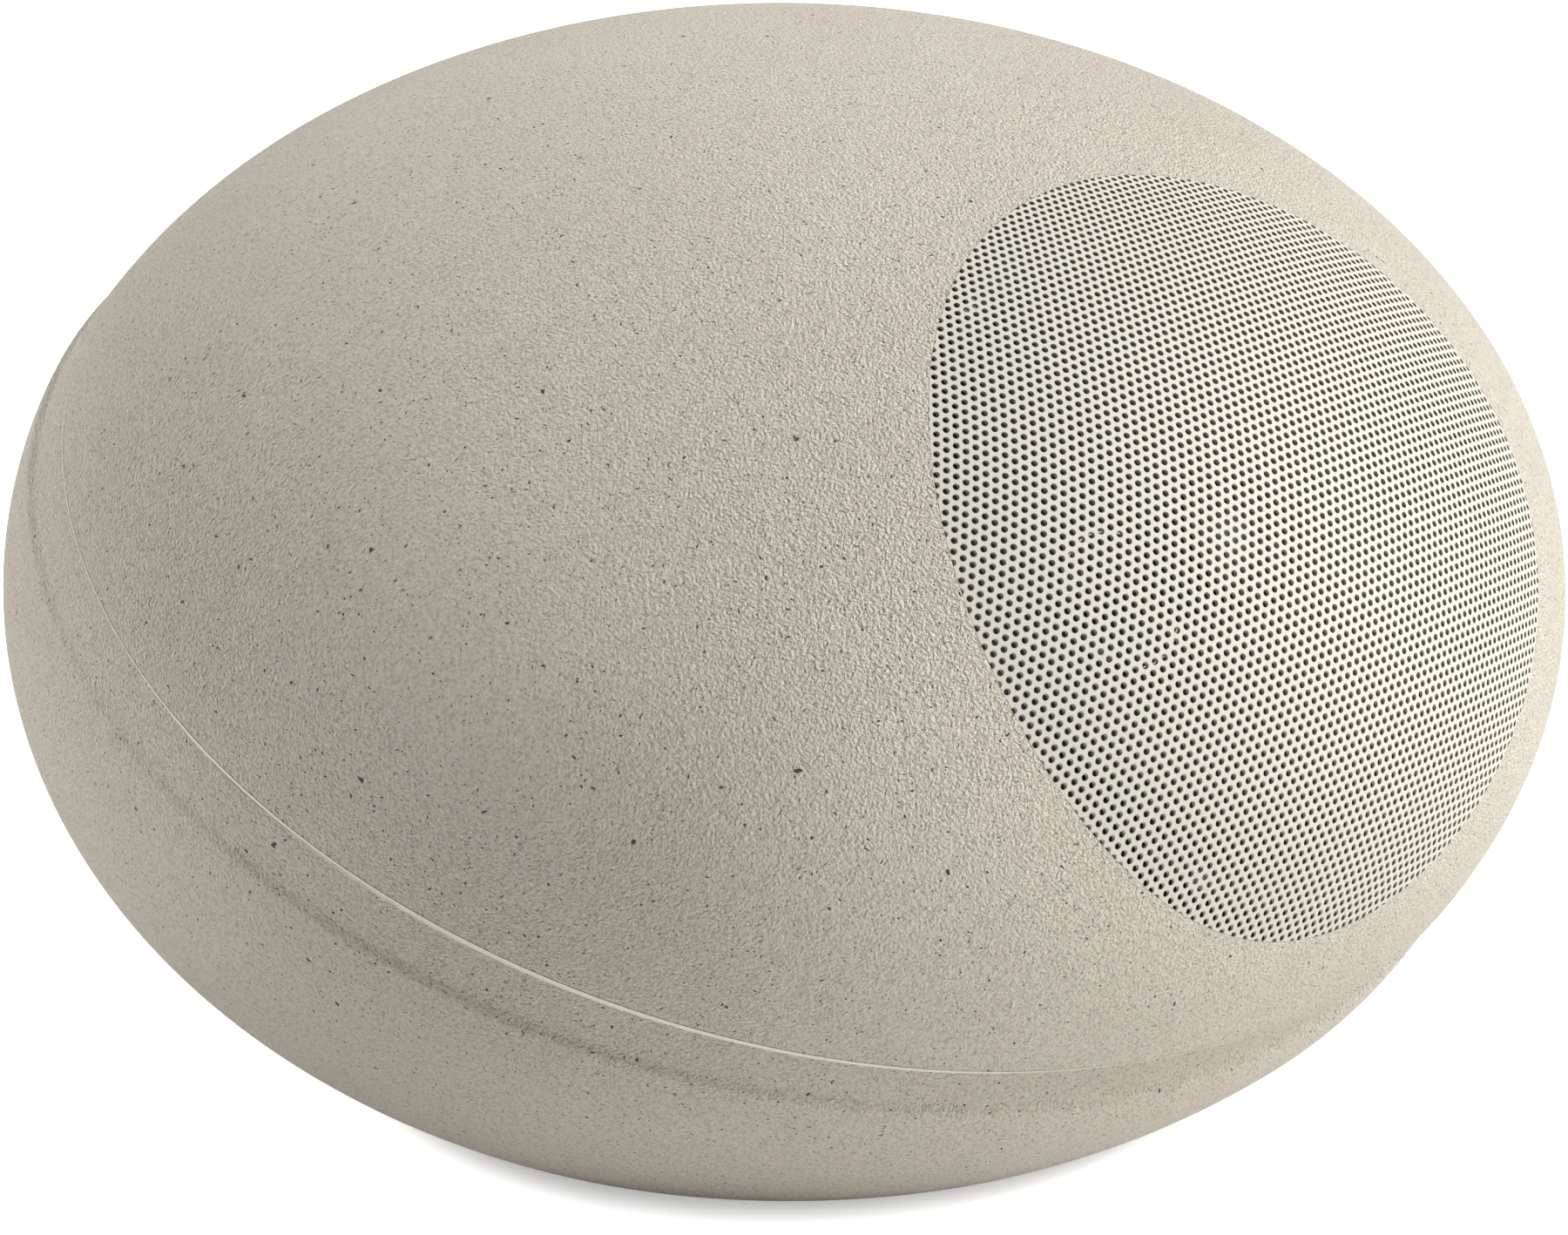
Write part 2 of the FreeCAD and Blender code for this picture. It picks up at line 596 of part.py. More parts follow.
def skin_point(frame, across, up, depth=0):
    # Point of the dome's skin, or of a like surface under it, that stands over (across, up)
    # in the driver's frame.
    plan, rise = number("dome_radius") - depth, number("dome_rise") - depth
    middle = FreeCAD.Vector(0, number(DOME_Y), number("centre_height"))
    start = frame.multVec(FreeCAD.Vector(across, up, 0)) - middle
    way = frame.Rotation.multVec(FreeCAD.Vector(0, 0, 1))
    weights = (plan ** -2, plan ** -2, rise ** -2)
    square = sum(w * d * d for w, d in zip(weights, way))
    cross = sum(w * s * d for w, s, d in zip(weights, start, way))
    rest = sum(w * s * s for w, s in zip(weights, start)) - 1
    reach = (math.sqrt(cross ** 2 - square * rest) - cross) / square
    return start + way * reach + middle


def under_skin(name, depth, radius):
    # A block behind one smooth patch of the dome's skin, taken at a depth, about the driver's axis.
    frame = driver_frame()
    reach = PATCH_MARGIN * number(radius)
    steps = [2 * index / PATCH_STEPS - 1 for index in range(PATCH_STEPS + 1)]
    rows = []
    for u in steps:
        row = []
        for v in steps:
            across = reach * u * math.sqrt(1 - PATCH_ROUND * v * v)
            up = reach * v * math.sqrt(1 - PATCH_ROUND * u * u)
            row.append(skin_point(frame, across, up, number(depth)))
        rows.append(row)
    patch = Part.BSplineSurface()
    patch.approximate(Points=rows, DegMin=PATCH_DEGREE, DegMax=PATCH_DEGREE, Tolerance=PATCH_TOLERANCE)
    back = frame.Rotation.multVec(FreeCAD.Vector(0, 0, -2 * number("baffle_depth")))
    return shaped(name, patch.toShape().extrude(back))


def perforation():
    # Round holes square to the sheet, close packed, with one row upright.
    frame = driver_frame()
    middle = FreeCAD.Vector(0, number(DOME_Y), number("centre_height"))
    pitch = number("hole_pitch")
    limit = number(f"{SKIRT_BORE} - hole_margin - hole_radius")
    sheet_depth = number("grille_sheet")
    count = int(limit / pitch) + 2
    holes = []
    for column in range(-count, count + 1):
        across = column * pitch * math.sqrt(3) / 2
        for step in range(-count, count + 1):
            up = (step + (column % 2) / 2) * pitch
            if math.hypot(across, up) > limit:
                continue
            point = skin_point(frame, across, up)
            inward = dome_normal(point - middle) * -1
            start = point - inward * sheet_depth
            holes.append(Part.makeCylinder(number("hole_radius"), sheet_depth * 4, start, inward))
    return shaped("perforation", Part.makeCompound(holes))


def make_grille():
    # A round piece of the dome's skin with a turned-in skirt, perforated.
    disc = at_driver(cylinder("grille_disc", "grille_radius", "baffle_depth * 2"), BAFFLE)
    front = under_skin("grille_front", "0", "grille_radius")
    back = under_skin("grille_back", "grille_sheet", "grille_radius")
    cap = cut("grille_cap", shared("grille_lens", [front, disc]), back)
    tube_outer = at_driver(cylinder("skirt_outside", SKIRT_RADIUS, "baffle_depth * 2"), BAFFLE)
    tube_inner = at_driver(cylinder("skirt_inside", SKIRT_BORE, "baffle_depth * 3"), f"{BAFFLE} * 1.5")
    tube = cut("skirt_tube", tube_outer, tube_inner)
    skirt = cut("grille_skirt", shared("skirt_lens", [back, tube]),
                under_skin("skirt_end", "grille_sheet + skirt_depth", SKIRT_RADIUS))
    return cut("grille", joined("grille_pressing", [cap, skirt]), perforation())


def make_basket():
    # Flange, conical wall with windows, spider seat and back ring in one casting.
    throat = "(cutout_radius - basket_gap)"
    shoulder = f"({FLANGE_BACK} - basket_wall * 2)"
    lower = "(neck_radius + basket_wall)"
    back_bore = f"({COIL_OUT} + seat_width)"
    basket = turned("woofer_basket", [
        ("flange_bore", FLANGE_FACE),
        ("flange_bore", f"{FLANGE_BACK} - basket_wall"),
        ("neck_radius", NECK_FACE + " + basket_wall"),
        ("neck_radius", NECK_FACE),
        ("neck_radius - seat_width", NECK_FACE),
        ("neck_radius - seat_width", f"{BASKET_BACK} + basket_wall"),
        (back_bore, f"{BASKET_BACK} + basket_wall"),
        (back_bore, BASKET_BACK),
        (lower, BASKET_BACK),
        (lower, NECK_FACE),
        (throat, shoulder),
        (throat, FLANGE_BACK),
        ("flange_radius", FLANGE_BACK),
        ("flange_radius", FLANGE_FACE)])
    drill_ring(basket, "flange_holes", "screw_radius + screw_clearance", "screw_circle", "screw_count")
    window = sketch_on(basket, "window_outline", "XY_Plane")
    near, far = f"({lower} + basket_wall)", "(flange_bore - basket_wall)"
    half_turn = "window_turn / 2"
    draw_outline(window, [
        (f"{near} * cos({half_turn})", f"-1 * {near} * sin({half_turn})"),
        (f"{far} * cos({half_turn})", f"-1 * {far} * sin({half_turn})"),
        (f"{far} * cos({half_turn})", f"{far} * sin({half_turn})"),
        (f"{near} * cos({half_turn})", f"{near} * sin({half_turn})")])
    pattern(basket, pocket_through(basket, "windows", window), window, "spoke_count")
    return at_driver(basket)


def make_driver_frame_parts():
    # Gasket, surround and spider: what the basket holds round the moving cone.
    gasket = turned("driver_gasket", [
        ("cutout_radius", BAFFLE),
        ("flange_radius", BAFFLE),
        ("flange_radius", FLANGE_BACK),
        ("cutout_radius", FLANGE_BACK)])
    drill_ring(gasket, "gasket_holes", "screw_radius + screw_clearance", "screw_circle", "screw_count")
    inner = "(cone_radius + moving_gap)"
    roll_in, roll_out = f"({inner} + roll_lip)", "flange_bore"
    top = f"({FLANGE_FACE} + roll_sheet)"
    surround = turned("woofer_surround", [
        (inner, FLANGE_FACE),
        (f"{roll_in} + roll_sheet", FLANGE_FACE, (FLANGE_FACE, False)),
        (f"{roll_out} - roll_sheet", FLANGE_FACE),
        (f"{roll_out} + roll_seat", FLANGE_FACE),
        (f"{roll_out} + roll_seat", top),
        (roll_out, top, (FLANGE_FACE, True)),
        (roll_in, top),
        (inner, top)])
    return [at_driver(gasket), at_driver(surround)]


def make_spider():
    # A rippled disc from the former out to its seat.
    inner = f"({FORMER_OUT} + moving_gap)"
    ripple = f"((neck_radius - seat_width - {inner}) / (2 * spider_waves))"
    face, back = f"({NECK_FACE} + spider_sheet)", NECK_FACE
    halves = 2 * int(number("spider_waves"))
    upper = [(f"{inner} + {index} * {ripple}", face) for index in range(halves + 1)]
    lower = [(f"{inner} + {index} * {ripple}", back) for index in range(halves + 1)]
    rows = []
    for index, point in enumerate(lower[:-1]):
        rises = index % 2 == 0
        rows.append(point + ((f"{back} {'-' if rises else '+'} spider_sag", not rises),))
    rows += [lower[-1], ("neck_radius - moving_gap", back), ("neck_radius - moving_gap", face)]
    for index in range(halves, 0, -1):
        rises = index % 2 == 1
        rows.append(upper[index] + ((f"{face} {'-' if rises else '+'} spider_sag", rises),))
    rows.append(upper[0])
    return at_driver(turned("woofer_spider", rows))


def make_moving_parts():
    # Cone, coil former and winding, which travel together.
    rim = FLANGE_FACE
    cone = turned("woofer_cone", [
        (FORMER_OUT, CONE_NECK, (f"{CONE_NECK} - cone_curve", False)),
        ("cone_radius", f"{rim}"),
        ("cone_radius", f"{rim} + cone_wall", (f"{CONE_NECK} + cone_wall - cone_curve", True)),
        (FORMER_OUT, f"{CONE_NECK} + cone_wall")])
    former = turned("voice_coil_former", [
        ("coil_radius", FORMER_END),
        (FORMER_OUT, FORMER_END),
        (FORMER_OUT, f"{CONE_NECK} + cone_wall"),
        ("coil_radius", f"{CONE_NECK} + cone_wall")])
    coil = turned("voice_coil", [
        (FORMER_OUT, COIL_BACK),
        (COIL_OUT, COIL_BACK),
        (COIL_OUT, f"{COIL_BACK} + coil_length"),
        (FORMER_OUT, f"{COIL_BACK} + coil_length")])
    return [at_driver(piece) for piece in (cone, former, coil)]


def make_motor():
    # Top plate, ring magnet and yoke with its bored pole.
    plate = turned("top_plate", [
        (f"{COIL_OUT} + gap_clearance", PLATE_BACK),
        ("plate_radius", PLATE_BACK),
        ("plate_radius", BASKET_BACK),
        (f"{COIL_OUT} + gap_clearance", BASKET_BACK)])
    magnet = turned("woofer_magnet", [
        ("magnet_bore", MAGNET_BACK),
        ("magnet_radius", MAGNET_BACK),
        ("magnet_radius", PLATE_BACK),
        ("magnet_bore", PLATE_BACK)])
    pole = "(coil_radius - gap_clearance)"
    yoke = turned("pole_yoke", [
        ("post_radius", YOKE_BACK),
        ("yoke_radius", YOKE_BACK),
        ("yoke_radius", MAGNET_BACK),
        (pole, MAGNET_BACK),
        (pole, BASKET_BACK),
        ("post_radius", BASKET_BACK)])
    return [at_driver(piece) for piece in (plate, magnet, yoke)]


def make_tweeter():
    # A post through the pole carries the tweeter's cup, motor, dome and face plate.
    post = turned("tweeter_post", [
        ("post_bore", f"{YOKE_BACK} - post_head_sheet"),
        ("post_head", f"{YOKE_BACK} - post_head_sheet"),
        ("post_head", YOKE_BACK),
        ("post_radius", YOKE_BACK),
        ("post_radius", CUP_BACK),
        ("post_bore", CUP_BACK)])
    cup = turned("tweeter_cup", [
        ("post_bore", CUP_BACK),
        ("cup_radius", CUP_BACK),
        ("cup_radius", CUP_RIM),
        ("cup_radius - cup_wall", CUP_RIM),
        ("cup_radius - cup_wall", f"{CUP_BACK} + cup_wall"),
        ("post_bore", f"{CUP_BACK} + cup_wall")])
    slug_face = f"({CUP_BACK} + cup_wall + slug_length)"
    slug = turned("tweeter_magnet", [
        ("0", f"{CUP_BACK} + cup_wall"),
        ("slug_radius", f"{CUP_BACK} + cup_wall"),
        ("slug_radius", slug_face),
        ("0", slug_face)])
    disc = turned("tweeter_pole_disc", [
        ("0", slug_face),
        ("pole_disc_radius", slug_face),
        ("pole_disc_radius", f"{slug_face} + pole_disc_sheet"),
        ("0", f"{slug_face} + pole_disc_sheet")])
    sphere = "((dome_tip_radius^2 - dome_tip_rise^2) / (2 * dome_tip_rise))"
    dome = turned("tweeter_dome", [
        ("0", f"{CUP_RIM} + dome_tip_rise", (f"{CUP_RIM} - {sphere}", False)),
        ("dome_tip_radius", CUP_RIM),
        ("cup_radius", CUP_RIM),
        ("cup_radius", DOME_SEAT),
        ("dome_tip_radius", DOME_SEAT, (f"{DOME_SEAT} - {sphere}", True)),
        ("0", f"{DOME_SEAT} + dome_tip_rise")])
    face = turned("tweeter_faceplate", [
        ("face_bore", DOME_SEAT),
        ("face_radius", DOME_SEAT),
        ("face_radius", f"{TWEETER_FACE} - dome_tip_sheet"),
        ("face_radius - dome_tip_sheet", TWEETER_FACE),
        ("face_bore + face_flare", TWEETER_FACE)])
    return [at_driver(piece) for piece in (post, cup, slug, disc, dome, face)]


def make_driver_screws():
    screw = turned("driver_screw_form", [
        ("0", f"{FLANGE_FACE} - screw_length"),
        ("screw_radius", f"{FLANGE_FACE} - screw_length + screw_radius"),
        ("screw_radius", FLANGE_FACE),
        ("screw_head", FLANGE_FACE),
        ("screw_head", f"{FLANGE_FACE} + screw_head_height / 2"),
        ("screw_head - screw_head_height / 2", f"{FLANGE_FACE} + screw_head_height"),
        ("0", f"{FLANGE_FACE} + screw_head_height")])
    return ring_of("driver_screws", screw, "screw_count", "screw_circle")


def make_driver_tags():
    # A strip under the basket's neck with two blades for the leads.
    out = "(neck_radius + basket_wall)"
    strip = box("tag_strip", "tag_width", "tag_sheet", "tag_height")
    place(strip, "-tag_width / 2", f"-1 * {out} - tag_sheet", BASKET_BACK)
    blades = []
    for index, side in enumerate((-1, 1)):
        blade = box(f"tag_blade_{index}", "blade_width", "blade_sheet", "blade_length")
        x = f"{side} * tag_width / 4 - blade_width / 2"
        y = f"-1 * {out} - tag_sheet - blade_sheet"
        blades.append(place(blade, x, y, f"{BASKET_BACK} - blade_length / 3"))
    return at_driver(joined("driver_terminals", [strip] + blades))


def make_crossover():
    # Board on its standoffs, with a coil, two capacitors, a resistor and a terminal block.
    top = f"({BOARD_SEAT} + board_sheet)"
    left, back = "(-board_width / 2)", "(board_setback + board_length / 2)"
    coil_right = f"({left} + board_inset * 2 + bobbin_radius * 2)"
    sheet_box = place(box("board_sheet_block", "board_width", "board_length", "board_sheet"),
                      left, "board_setback - board_length / 2", BOARD_SEAT)
    holes, screws = [], []
    for index, (x, y) in enumerate(board_corners()):
        hole = cylinder(f"board_hole_{index}", "board_screw_radius + screw_clearance", "board_sheet * 3")
        holes.append(place(hole, x, y, f"{top} - board_sheet * 2"))
        shank = cylinder(f"board_shank_{index}", "board_screw_radius", "board_screw_length")
        head = cylinder(f"board_head_{index}", "board_screw_head", "board_screw_head_height")
        place(shank, x, y, f"{top} - board_screw_length")
        place(head, x, y, top)
        screws.append(joined(f"board_screw_{index}", [shank, head]))
    board = cut("crossover_board", sheet_box, joined("board_holes", holes))
    screw_set = doc.addObject("Part::Compound", "crossover_screws")
    screw_set.Links = screws

    bobbin = turned("inductor_bobbin", [
        ("bobbin_bore", "0"),
        ("bobbin_radius", "0"),
        ("bobbin_radius", "bobbin_wall"),
        ("bobbin_bore + bobbin_wall", "bobbin_wall"),
        ("bobbin_bore + bobbin_wall", "bobbin_length - bobbin_wall"),
        ("bobbin_radius", "bobbin_length - bobbin_wall"),
        ("bobbin_radius", "bobbin_length"),
        ("bobbin_bore", "bobbin_length")])
    winding = turned("inductor_winding", [
        ("bobbin_bore + bobbin_wall", "bobbin_wall"),
        ("winding_radius", "bobbin_wall"),
        ("winding_radius", "bobbin_length - bobbin_wall"),
        ("bobbin_bore + bobbin_wall", "bobbin_length - bobbin_wall")])
    for piece in (bobbin, winding):
        place(piece, f"{coil_right} - bobbin_radius", "board_setback", top)

    cans = []
    for index in range(2):
        can = cylinder(f"can_{index}", "can_radius", "can_length")
        cans.append(can)
        can_left = f"{coil_right} + can_gap * 2 + resistor_side"
        place(can, f"{can_left} + can_radius + {index} * (2 * can_radius + can_gap)",
              "board_setback - board_length / 2 + board_inset * 2", f"{top} + can_radius", "-90")
    can_set = doc.addObject("Part::Compound", "crossover_capacitors")
    can_set.Links = cans

    resistor = box("crossover_resistor", "resistor_side", "resistor_length", "resistor_side")
    place(resistor, f"{coil_right} + can_gap", "board_setback - board_length / 2 + board_inset", top)

    block = box("block_body", "block_length", "block_width", "block_height")
    place(block, "board_inset", f"{back} - board_inset - block_width", top)
    wells = []
    for index in range(4):
        well = cylinder(f"block_well_{index}", "block_hole", "block_height")
        x = f"board_inset + block_length / 2 + {index - 1.5} * block_pitch"
        wells.append(place(well, x, f"{back} - board_inset - block_width / 2", f"{top} + block_height / 2"))
    terminal_block = cut("terminal_block", block, joined("block_wells", wells))
    return [board, screw_set, bobbin, winding, can_set, resistor, terminal_block]


def hexagon(name, length):
    thing = doc.addObject("Part::Prism", name)
    thing.Polygon = 6
    bind(thing, "Circumradius", "gland_hex / cos(30)")
    bind(thing, "Height", length)
    return thing


def make_gland():
    # A cable gland seated in its recess, with a locknut inside the wall; the cable isn't fitted.
    inner_end = f"({GLAND_SEAT} - gland_inner)"
    body = joined("gland_block", [
        along_back(hexagon("gland_flats", "gland_hex_sheet"), GLAND_SEAT),
        along_back(
            cylinder("gland_shank", "gland_thread", "gland_inner + gland_hex_sheet + gland_outer"),
            inner_end)])
    way = along_back(cylinder("gland_way", "gland_bore", "dome_radius"), f"{inner_end} - 1")
    gland = cut("gland_body", body, way)

    locknut_start = f"({GLAND_SEAT} - gland_pad - locknut_sheet)"
    locknut = cut("gland_locknut",
                  along_back(hexagon("locknut_flats", "locknut_sheet"), locknut_start),
                  along_back(cylinder("locknut_bore", "gland_thread", "locknut_sheet * 3"),
                             f"{locknut_start} - locknut_sheet"))

    nut = turned("gland_nut", [
        ("gland_thread", "gland_hex_sheet"),
        ("nut_radius", "gland_hex_sheet"),
        ("nut_radius", "gland_hex_sheet + nut_length * 0.6"),
        ("nut_mouth + nut_lip", "gland_hex_sheet + nut_length"),
        ("nut_mouth", "gland_hex_sheet + nut_length"),
        ("nut_mouth", "gland_hex_sheet + nut_length - nut_lip"),
        ("gland_thread", "gland_hex_sheet + gland_outer")])
    seal = turned("gland_seal", [
        ("seal_bore", "gland_hex_sheet"),
        ("gland_bore", "gland_hex_sheet"),
        ("gland_bore", "gland_hex_sheet + gland_outer"),
        ("nut_mouth", "gland_hex_sheet + nut_length - nut_lip"),
        ("seal_bore", "gland_hex_sheet + nut_length - nut_lip")])
    return [gland, locknut, along_back(nut, GLAND_SEAT), along_back(seal, GLAND_SEAT)]


def build():
    seal = make_seam_seal()
    pieces = [make_upper_shell(), make_lower_shell(seal), seal, make_grille(), make_basket()]
    pieces += make_driver_frame_parts()
    pieces.append(make_spider())
    pieces += make_moving_parts()
    pieces += make_motor()
    pieces += make_tweeter()
    pieces += [make_driver_screws(), make_driver_tags()]
    pieces += make_crossover()
    pieces += make_gland()
    doc.recompute()
    return pieces


def check(pieces):
    for thing in doc.Objects:
        if "Invalid" in thing.State or "Error" in thing.State:
            raise RuntimeError(f"{thing.Label} failed: {thing.State}")
    for piece in pieces:
        if piece.Shape.isNull() or not piece.Shape.isValid() or not piece.Shape.Solids:
            raise RuntimeError(f"{piece.Label} has no valid shape")


pieces = build()
check(pieces)
os.makedirs("parts", exist_ok=True)
for piece in pieces:
    piece.Shape.exportStep(f"parts/{piece.Label}.step")
    print(piece.Label, len(piece.Shape.Solids), "solids", round(piece.Shape.Volume), "mm3")
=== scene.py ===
import bpy
import json
import math
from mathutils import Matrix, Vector


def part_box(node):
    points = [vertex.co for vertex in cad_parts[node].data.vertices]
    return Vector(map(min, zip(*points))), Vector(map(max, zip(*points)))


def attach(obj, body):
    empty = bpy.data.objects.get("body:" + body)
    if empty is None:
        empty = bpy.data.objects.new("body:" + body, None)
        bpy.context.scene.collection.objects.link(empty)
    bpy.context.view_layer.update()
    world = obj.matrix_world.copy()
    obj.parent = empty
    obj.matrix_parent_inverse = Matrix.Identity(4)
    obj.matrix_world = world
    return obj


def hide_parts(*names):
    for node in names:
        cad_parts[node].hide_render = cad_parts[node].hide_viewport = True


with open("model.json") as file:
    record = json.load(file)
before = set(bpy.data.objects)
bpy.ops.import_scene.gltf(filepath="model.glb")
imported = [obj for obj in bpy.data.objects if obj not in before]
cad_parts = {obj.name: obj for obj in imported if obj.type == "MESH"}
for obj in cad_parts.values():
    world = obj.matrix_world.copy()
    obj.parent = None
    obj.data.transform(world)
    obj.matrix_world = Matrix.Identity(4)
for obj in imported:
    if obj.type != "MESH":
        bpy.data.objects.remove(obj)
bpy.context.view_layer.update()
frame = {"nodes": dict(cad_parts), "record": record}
mm = 0.001

# the two shells, sizes in mm and angles in degrees
shell = {
    "domePlan": 220.0, "domeRise": 159.0, "domeMiddle": (0.0, 2.0, 136.5),
    "bowlPlan": 219.5, "bowlDepth": 165.8, "bowlMiddle": (0.0, -1.5, 138.5),
    "wall": 5.0, "floor": 6.0,
    "seamTilt": 27.0, "seamLevel": 21.0, "crestLevel": 1.0,
    "tuck": 1.25, "tuckReach": 50.0,    # the dome draws in towards the seam at the back
    "lipDrop": 2.8, "lipIn": 1.5,       # smooth lip of the bowl, turned in under the dome's edge
    "lipLeast": 0.15,                   # share of the lip's drop that is left where it runs out
    "lipProud": 0.02,                   # the lip's top stands this far out of the dome's skin
    "coveIn": 3.5, "coveLeast": 0.1,    # hollow band under the lip
    "coveLevel": 16.5, "coveFoot": -20.0,
    "strip": 1.7, "stripDrop": 4.0,     # the crest's flared edge, at the foot of the band
    "stripMore": 1.6,                   # how much wider it gets to the right
    "edgeRound": 0.25,                  # edge of the dome along the seam, a fine groove all round
    "rimRound": 0.12,                   # edge of the dome round the grille
    "baseEdge": 10.125, "baseEdgeHeight": 4.3,   # soft edge between the bowl and its flat base
    "around": 288,                      # points round each ring
}
# the driver's place in the dome, sizes in mm along and across its axis
driver = {
    "elevation": 33.0, "grilleRadius": 100.0, "grilleSheet": 1.2,
    "grilleGap": 0.05, "bead": 0.1,     # gap round the grille, closed by paint, and the glue under it
    "wellRadius": 95.0, "wellWall": 4.0, "baffleDepth": 50.0, "baffleWall": 6.0, "cutout": 84.0,
    "lineStart": 60.0,                  # lines towards the dome's skin start this far behind its apex
}


def spheroid(middle, plan, rise):
    return {"middle": Vector(middle), "size": Vector((plan, plan, rise))}


dome = spheroid(shell["domeMiddle"], shell["domePlan"], shell["domeRise"])
wall = shell["wall"]
room = spheroid(shell["domeMiddle"], shell["domePlan"] - wall, shell["domeRise"] - wall)
bowl = spheroid(shell["bowlMiddle"], shell["bowlPlan"], shell["bowlDepth"])
bowlRoom = spheroid(shell["bowlMiddle"], shell["bowlPlan"] - wall, shell["bowlDepth"] - wall)


def onUnit(ball, point):
    away = point - ball["middle"]
    return Vector(a / s for a, s in zip(away, ball["size"])).normalized()


def offUnit(ball, way):
    return ball["middle"] + Vector(w * s for w, s in zip(way, ball["size"]))


def meet(ball, start, way):  # where a line leaves a spheroid
    s = Vector(a / b for a, b in zip(start - ball["middle"], ball["size"]))
    w = Vector(a / b for a, b in zip(way, ball["size"]))
    square, cross, rest = w.dot(w), s.dot(w), s.dot(s) - 1
    return start + way * ((math.sqrt(max(cross * cross - square * rest, 0)) - cross) / square)


tilt = math.radians(shell["seamTilt"])
rise = math.radians(driver["elevation"])
side = Vector((1, 0, 0))
seamBack = Vector((0, math.cos(tilt), math.sin(tilt)))
seamUp = Vector((0, -math.sin(tilt), math.cos(tilt)))
axisUp = Vector((0, math.sin(rise), math.cos(rise)))
axisOut = Vector((0, -math.cos(rise), math.sin(rise)))
span = math.hypot(shell["domePlan"] * math.cos(rise), shell["domeRise"] * math.sin(rise))
apex = dome["middle"] + Vector((
    0, -shell["domePlan"] ** 2 * math.cos(rise) / span, shell["domeRise"] ** 2 * math.sin(rise) / span))
turns = [2 * math.pi * k / shell["around"] for k in range(shell["around"])]


def outward(t):  # away from the middle, along the seam's plane
    return side * math.cos(t) + seamBack * math.sin(t)


def seamRing(ball, level, wider=0.0):  # a spheroid's section at a level of the seam's frame
    ring = []
    for t in turns:
        way = outward(t)
        ring.append(meet(ball, dome["middle"] + seamUp * level, way) + way * wider)
    return ring


def tucked(ring):  # the ring drawn in, most at the back and at the seam
    s, drawn = shell, []
    for point in ring:
        away = point - dome["middle"]
        out = side * away.x + seamBack * away.dot(seamBack)
        fade = min(max(1 - (away.dot(seamUp) - s["seamLevel"]) / s["tuckReach"], 0), 1)
        backward = 0.5 + 0.5 * away.dot(seamBack) / out.length
        drawn.append(point - out.normalized() * s["tuck"] * backward * fade ** 2)
    return drawn


def domeEdge(level, wider=0.0):  # the dome's skin near the seam
    return tucked(seamRing(dome, level, wider))


def smooth(share):
    share = min(max(share, 0), 1)
    return share * share * (3 - 2 * share)


def frontShare(t):  # the cove is full in front and runs out at the sides
    return smooth(0.1 - math.sin(t))


def lipShare(t):  # the smooth lip shows on the left and runs out to the right and behind
    return smooth((-math.cos(t) - 0.1) / 0.4) * smooth((0.1 - math.sin(t)) / 0.4)


def rightShare(t):  # 0 on the left, 1 on the right
    return smooth(0.5 + 0.6 * math.cos(t))


def lipRing():
    s, ring = shell, []
    least = s["lipLeast"]
    tops, feet = domeEdge(s["seamLevel"]), domeEdge(s["seamLevel"] - s["lipDrop"])
    for t, high, low in zip(turns, tops, feet):
        share = lipShare(t)
        ring.append(high.lerp(low, least + (1 - least) * share) - outward(t) * s["lipIn"] * share)
    return ring


def bowlRing(level):  # a section of the bowl, with the cove let into it above the crest
    s, ring = shell, []
    hollow = smooth((level - s["coveFoot"]) / (s["coveLevel"] - s["coveFoot"]))
    flare = smooth((level - s["crestLevel"]) / s["stripDrop"] + 0.5)
    tops = zip(seamRing(bowl, s["coveLevel"]), domeEdge(s["coveLevel"]))
    for t, point, (outer, inner) in zip(turns, seamRing(bowl, level), tops):
        deep = (outer - inner).dot(outward(t)) + s["coveLeast"] + s["coveIn"] * frontShare(t)
        strip = min(s["strip"] + s["stripMore"] * rightShare(t) * frontShare(t), deep)
        ring.append(point - outward(t) * (hollow * (deep - strip) + flare * strip))
    return ring


def around(t):  # across the driver's axis
    return side * math.cos(t) + axisUp * math.sin(t)


def driverRing(radius, level):  # a ring round the driver's axis
    return [apex + around(t) * radius + axisOut * level for t in turns]


def driverRingOn(ball, radius, deeper=0.0):  # the same, standing on a spheroid
    ring = []
    for t in turns:
        start = apex + around(t) * radius - axisOut * driver["lineStart"]
        ring.append(meet(ball, start, axisOut) - axisOut * deeper)
    return ring


def levelRing(ball, height, wider=0.0):  # a spheroid's level section
    ring = []
    for t in turns:
        way = Vector((math.cos(t), math.sin(t), 0))
        start = Vector((ball["middle"].x, ball["middle"].y, height))
        ring.append(meet(ball, start, way) + way * wider)
    return ring


def alongBall(ball, first, last, steps):  # rings between two rings of one spheroid
    rings = []
    for k in range(1, steps):
        ring = []
        for a, b in zip(first, last):
            ring.append(offUnit(ball, onUnit(ball, a).slerp(onUnit(ball, b), k / steps)))
        rings.append(ring)
    return rings


def bend(first, corner, last, steps):  # a soft corner between two rings
    rings = []
    for k in range(1, steps):
        t = k / steps
        rings.append([a * (1 - t) ** 2 + c * 2 * t * (1 - t) + b * t * t
                      for a, c, b in zip(first, corner, last)])
    return rings


def closing(ring, height, shares):  # rings that close in on the bowl's middle
    middle = Vector((0, shell["bowlMiddle"][1], height))
    return [[point.lerp(middle, share) for point in ring] for share in shares]


def meshPiece(name, points, faces, body="enclosure", smoothAngle=35):
    mesh = bpy.data.meshes.new(name)
    mesh.from_pydata([p * mm for p in points], [], faces)
    mesh.polygons.foreach_set("use_smooth", [True] * len(mesh.polygons))
    mesh.set_sharp_from_angle(angle=math.radians(smoothAngle))
    mesh.update()
    piece = bpy.data.objects.new(name, mesh)
    bpy.context.scene.collection.objects.link(piece)
    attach(piece, body)
    return piece


